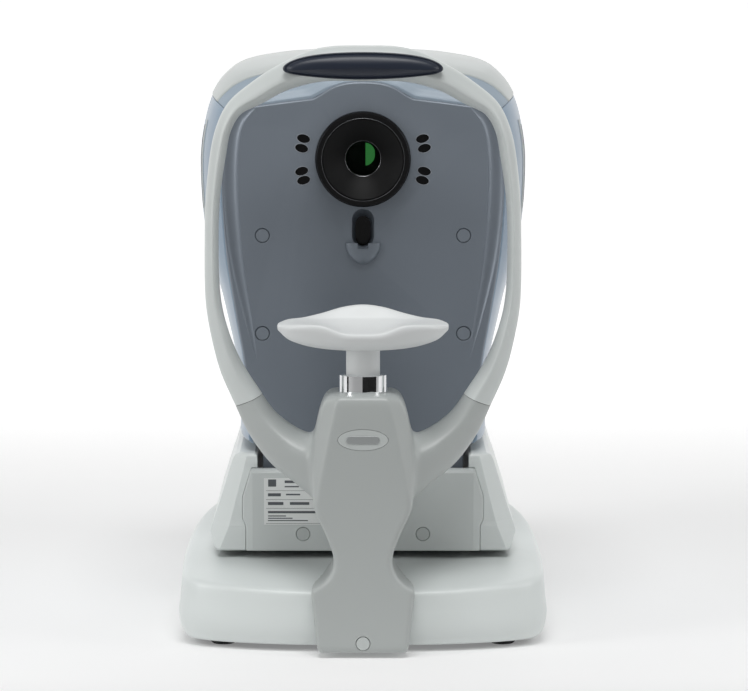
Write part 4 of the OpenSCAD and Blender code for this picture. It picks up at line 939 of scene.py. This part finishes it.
# chamfers at both ends of the panel and along its top
for side in (1, -1):
    outline = [(side * x, STAGE_Y + y) for x, y in ((80, -1), (85.5, 0), (98, 2.2), (110, -1))]
    cut(panel, prism("c", "z", outline, 40, 160))
cut(panel, prism("c", "x", [(STAGE_Y - 1, PANEL_TOP - 3.2), (STAGE_Y + 3.6, PANEL_TOP + 0.6),
                            (STAGE_Y - 1, PANEL_TOP + 4)], -120, 120))
cut(panel, prism("c", "y", both_sides([(80.5, 60), (80.5, PANEL_TOP - WALL)]), STAGE_Y + WALL, STAGE_Y + 20))
for side in (1, -1):
    cut(panel, disc(side * 46.4, 78.6, 5.25, STAGE_Y - 3, STAGE_Y + 2.2))
piece(panel, "stage", "white_cover", COVER, "stage_front_cover", edge=0.7, flat=12)

# Tower at each height: side face, outer edge of the front face, and how far the front leans back
HEIGHTS = [STAGE_LOW, STAGE_LOW + 1.5, 79, 84.5, 88, 100, 134, 138.2, TOWER_TOP]
SIDE_X = [113.2, 114.4, 119, 117.4, 116.2, 112.1, 101.6, 99.4, 96]
FRONT_X = [110.6, 111.2, 106.4, 104.2, 103.2, 100, 91.5, 90.4, 89.5]
LEAN = [0.9, 0.0, 0.0, 0.4, 1.6, 3.0, 7.4, 8.2, 10.0]


def tower_ring(z, inset=0.0, inner_x=82.0):
    """Level section of the right tower: front face, slanted facet, side."""
    side_x, front_x = table(z, HEIGHTS, SIDE_X) - inset, table(z, HEIGHTS, FRONT_X) - inset
    y = STAGE_Y + 1.4 + table(z, HEIGHTS, LEAN) + inset
    top_in = max(z - TOWER_TOP + 2, 0)
    return [(inner_x + top_in, 118 - inset, z), (inner_x + top_in, y, z), (front_x, y, z),
            (side_x, y + (side_x - front_x) * 1.05, z), (side_x, 118 - inset, z)]


tower = loft("tower_right", [tower_ring(z) for z in HEIGHTS])
cut(tower,
    prism("c", "y", [(60, 50), (jog_x, 50), (jog_x, jog_z), (seam_x, jog_z + 6), (seam_x, PANEL_TOP - 22),
                     (seam_x - 7, PANEL_TOP + 0.4), (60, PANEL_TOP + 0.4)], STAGE_Y - 3, STAGE_Y + 10.3),
    loft("c", [tower_ring(z, 3.2, 78 if z < 100 else 85) for z in (60, 79, 99, 100, 125, 135)]))
tower_left = mirrored(tower, "tower_left")
piece(tower, "stage", "white_cover", LOW_COVER_PAINTED_LIGHT, "stage_right_cover", edge=1.2, flat=25)
piece(tower_left, "stage", "white_cover", LOW_COVER_PAINTED_LIGHT, "stage_left_cover", edge=1.2, flat=25)

# plain ruled lines on the label, with no words: height, start, end, thickness
RULES = ((118.6, 3.2, 9.4, 5.6), (119.6, 16, 24, 2.0), (115.8, 16, 27, 1.0), (112.6, 1.5, 46, 0.25),
         (109.4, 3, 13, 2.4), (109.6, 17, 28, 1.2), (105.6, 1.5, 48, 0.25), (102.6, 3, 15, 2.4),
         (102.6, 20, 35, 2.2), (98.8, 1.5, 49, 0.25), (95.8, 3, 40, 1.8), (92.8, 3, 17, 0.8),
         (91.0, 3, 22, 0.8), (89.2, 3, 34, 0.8), (87.0, 1.5, 50, 0.25))
label_low = cad("rating_label")[0]
rules = []
for z, x0, x1, h in RULES:
    ends = (label_low[0] + x0, z - h / 2), (label_low[0] + x1, z + h / 2)
    rules.append(prism("rule", "y", rounded(*ends, 0.1, 1), label_low[1] - 0.06, label_low[1] + 0.05))
verts, faces = [], []
for r in rules:
    start = len(verts)
    verts += [tuple(c / MM for c in v.co) for v in r.data.vertices]
    faces += [tuple(start + i for i in f.vertices) for f in r.data.polygons]
    bpy.data.objects.remove(r)
piece(raw("label_rules", verts, faces), "stage", "label_white", INK)


# ---- monitor

mon_low, mon_high = cad("monitor_housing")
monitor = prism("monitor_shell", "y", rounded((mon_low[0], mon_low[2]), (mon_high[0], mon_high[2]), 9, 8),
                mon_low[1], mon_high[1])
screen_low, screen_high = cad("monitor_screen")
cut(monitor, prism("c", "y", rounded((screen_low[0] - 0.2, screen_low[2] - 0.2),
                                     (screen_high[0] + 0.2, screen_high[2] + 0.2), 1.5),
                   screen_low[1] - 0.1, mon_high[1] + 5))
# clearance for the bracket, and vents
for side in (1, -1):
    cut(monitor, prism("c", "y", [(side * 61, 398), (side * 77, 398), (side * 77, 460), (side * 61, 460)],
                       mon_low[1] - 5, mon_low[1] + 18))
for k in range(7):
    cut(monitor, prism("c", "y", rounded((-48, 292 + 7 * k), (48, 294.6 + 7 * k), 1.2),
                       mon_low[1] - 2, mon_low[1] + 1.6))
pin_low, pin_high = cad("monitor_pin")
axis_z = (pin_low[2] + pin_high[2]) / 2
axis_y = (pin_low[1] + pin_high[1]) / 2
bore = [(axis_y + 4.03 * math.cos(a), axis_z + 4.03 * math.sin(a)) for a in (math.pi * k / 16 for k in range(32))]
for side in (1, -1):
    cut(monitor, prism("c", "x", bore, min(side * 54.4, side * 83.6), max(side * 54.4, side * 83.6)))
piece(monitor, "monitor", "white_cover", COVER, "monitor_housing", edge=2.0, flat=30)


# ---- floor, light and camera

def studio_sweep():
    """Floor running up into the backdrop: darker towards the camera, brightest far behind."""
    profile = [(-6.0, 0.0), (-1.0, 0.0), (0.0, 0.0), (1.0, 0.0), (3.0, 0.0), (3.6, 0.02), (4.1, 0.14),
               (4.5, 0.45), (4.7, 1.0), (4.75, 2.0), (4.75, 6.0)]     # Y and Z in metres
    verts = [(x, y, z) for y, z in profile for x in (-8.0, 8.0)]
    faces = [(2 * i, 2 * i + 1, 2 * i + 3, 2 * i + 2) for i in range(len(profile) - 1)]
    mesh = bpy.data.meshes.new("studio_sweep")
    mesh.from_pydata(verts, [], faces)
    obj = bpy.data.objects.new("studio_sweep", mesh)
    bpy.context.scene.collection.objects.link(obj)
    smooth_shade(obj, 60)
    mat = surface("studio_paper", (0.7, 0.7, 0.7), 0.9, grain=60, bump=0.0, mottle=0.003)
    tree = mat.node_tree
    bsdf = tree.nodes["Principled BSDF"]
    place = tree.nodes.new("ShaderNodeTexCoord")
    split = tree.nodes.new("ShaderNodeSeparateXYZ")
    tree.links.new(place.outputs["Object"], split.inputs["Vector"])
    for socket, y0, y1, low, high in (("Emission Strength", 0.25, 1.7, 0.19, 0.62),
                                      ("Base Color", -0.75, -0.30, 0.15, 0.72)):
        ramp = tree.nodes.new("ShaderNodeMapRange")
        ramp.interpolation_type = "SMOOTHSTEP"
        for name, value in (("From Min", y0), ("From Max", y1), ("To Min", low), ("To Max", high)):
            ramp.inputs[name].default_value = value
        tree.links.new(split.outputs["Y"], ramp.inputs["Value"])
        tree.links.new(ramp.outputs["Result"], bsdf.inputs[socket])
    bsdf.inputs["Emission Color"].default_value = (1, 1, 1, 1)
    obj.data.materials.append(mat)


studio_sweep()


CARD_LEVELS = (1, 85)


def dark_card(name, a, b):
    """Low matt board between two places on the floor, out of the picture, for bright metal to reflect."""
    dx, dy = b[0] - a[0], b[1] - a[1]
    k = 3 / math.hypot(dx, dy)
    foot = [a, b, (b[0] - dy * k, b[1] + dx * k), (a[0] - dy * k, a[1] + dx * k)]
    obj = loft(name, [[(x, y, z) for x, y in foot] for z in CARD_LEVELS])
    obj.data.materials.append(surface(name, (0.004, 0.004, 0.004), 0.9, grain=60, bump=0.0))


dark_card("card_front", (-50, -1330), (480, -1300))
dark_card("card_side", (480, -1300), (1150, -760))
dark_card("card_left", (-1250, -420), (-1180, -620))


def area(name, at, aim, size, power):
    """Soft box at a place, turned to another; metres and watts."""
    light = bpy.data.lights.new(name, "AREA")
    light.shape = "RECTANGLE"
    light.size, light.size_y = size
    light.energy = power
    obj = bpy.data.objects.new(name, light)
    bpy.context.scene.collection.objects.link(obj)
    obj.location = at
    obj.rotation_euler = (Vector(aim) - Vector(at)).to_track_quat("-Z", "Y").to_euler()


area("top_box", (0.0, -1.9, 4.4), (0, -0.05, 0.15), (2.6, 1.7), 114)
area("left_box", (-1.5, -0.95, 0.85), (0, -0.1, 0.2), (0.5, 1.2), 10)
area("right_box", (1.5, -0.75, 0.85), (0, -0.1, 0.25), (0.4, 1.2), 6)
area("rear_box", (0.0, 1.3, 1.5), (0, 0, 0.3), (1.4, 0.7), 1.5)

world = bpy.data.worlds.new("studio")
bpy.context.scene.world = world
world.use_nodes = True
world.node_tree.nodes["Background"].inputs["Color"].default_value = (1.0, 1.0, 1.0, 1)
world.node_tree.nodes["Background"].inputs["Strength"].default_value = 0.20

# Camera fitted to the picture: metres and radians, focal length and frame width in the same unit
CAMERA_AT = (0, -2.752, 0.532)
TILT = 0.11753
FOCAL, FRAME_WIDTH, SENSOR = 3392.2, 748, 36
ASIDE = 11              # how far the middle of the frame lies from the camera's axis
camera_data = bpy.data.cameras.new("camera")
camera = bpy.data.objects.new("camera", camera_data)
bpy.context.scene.collection.objects.link(camera)
camera.location = CAMERA_AT
camera.rotation_euler = (math.pi / 2 - TILT, 0, 0)
camera_data.sensor_width = SENSOR
camera_data.lens = FOCAL * SENSOR / FRAME_WIDTH
camera_data.shift_x = ASIDE / FRAME_WIDTH
camera_data.dof.use_dof = False
bpy.context.scene.camera = camera
bpy.context.scene.view_settings.view_transform = "Standard"
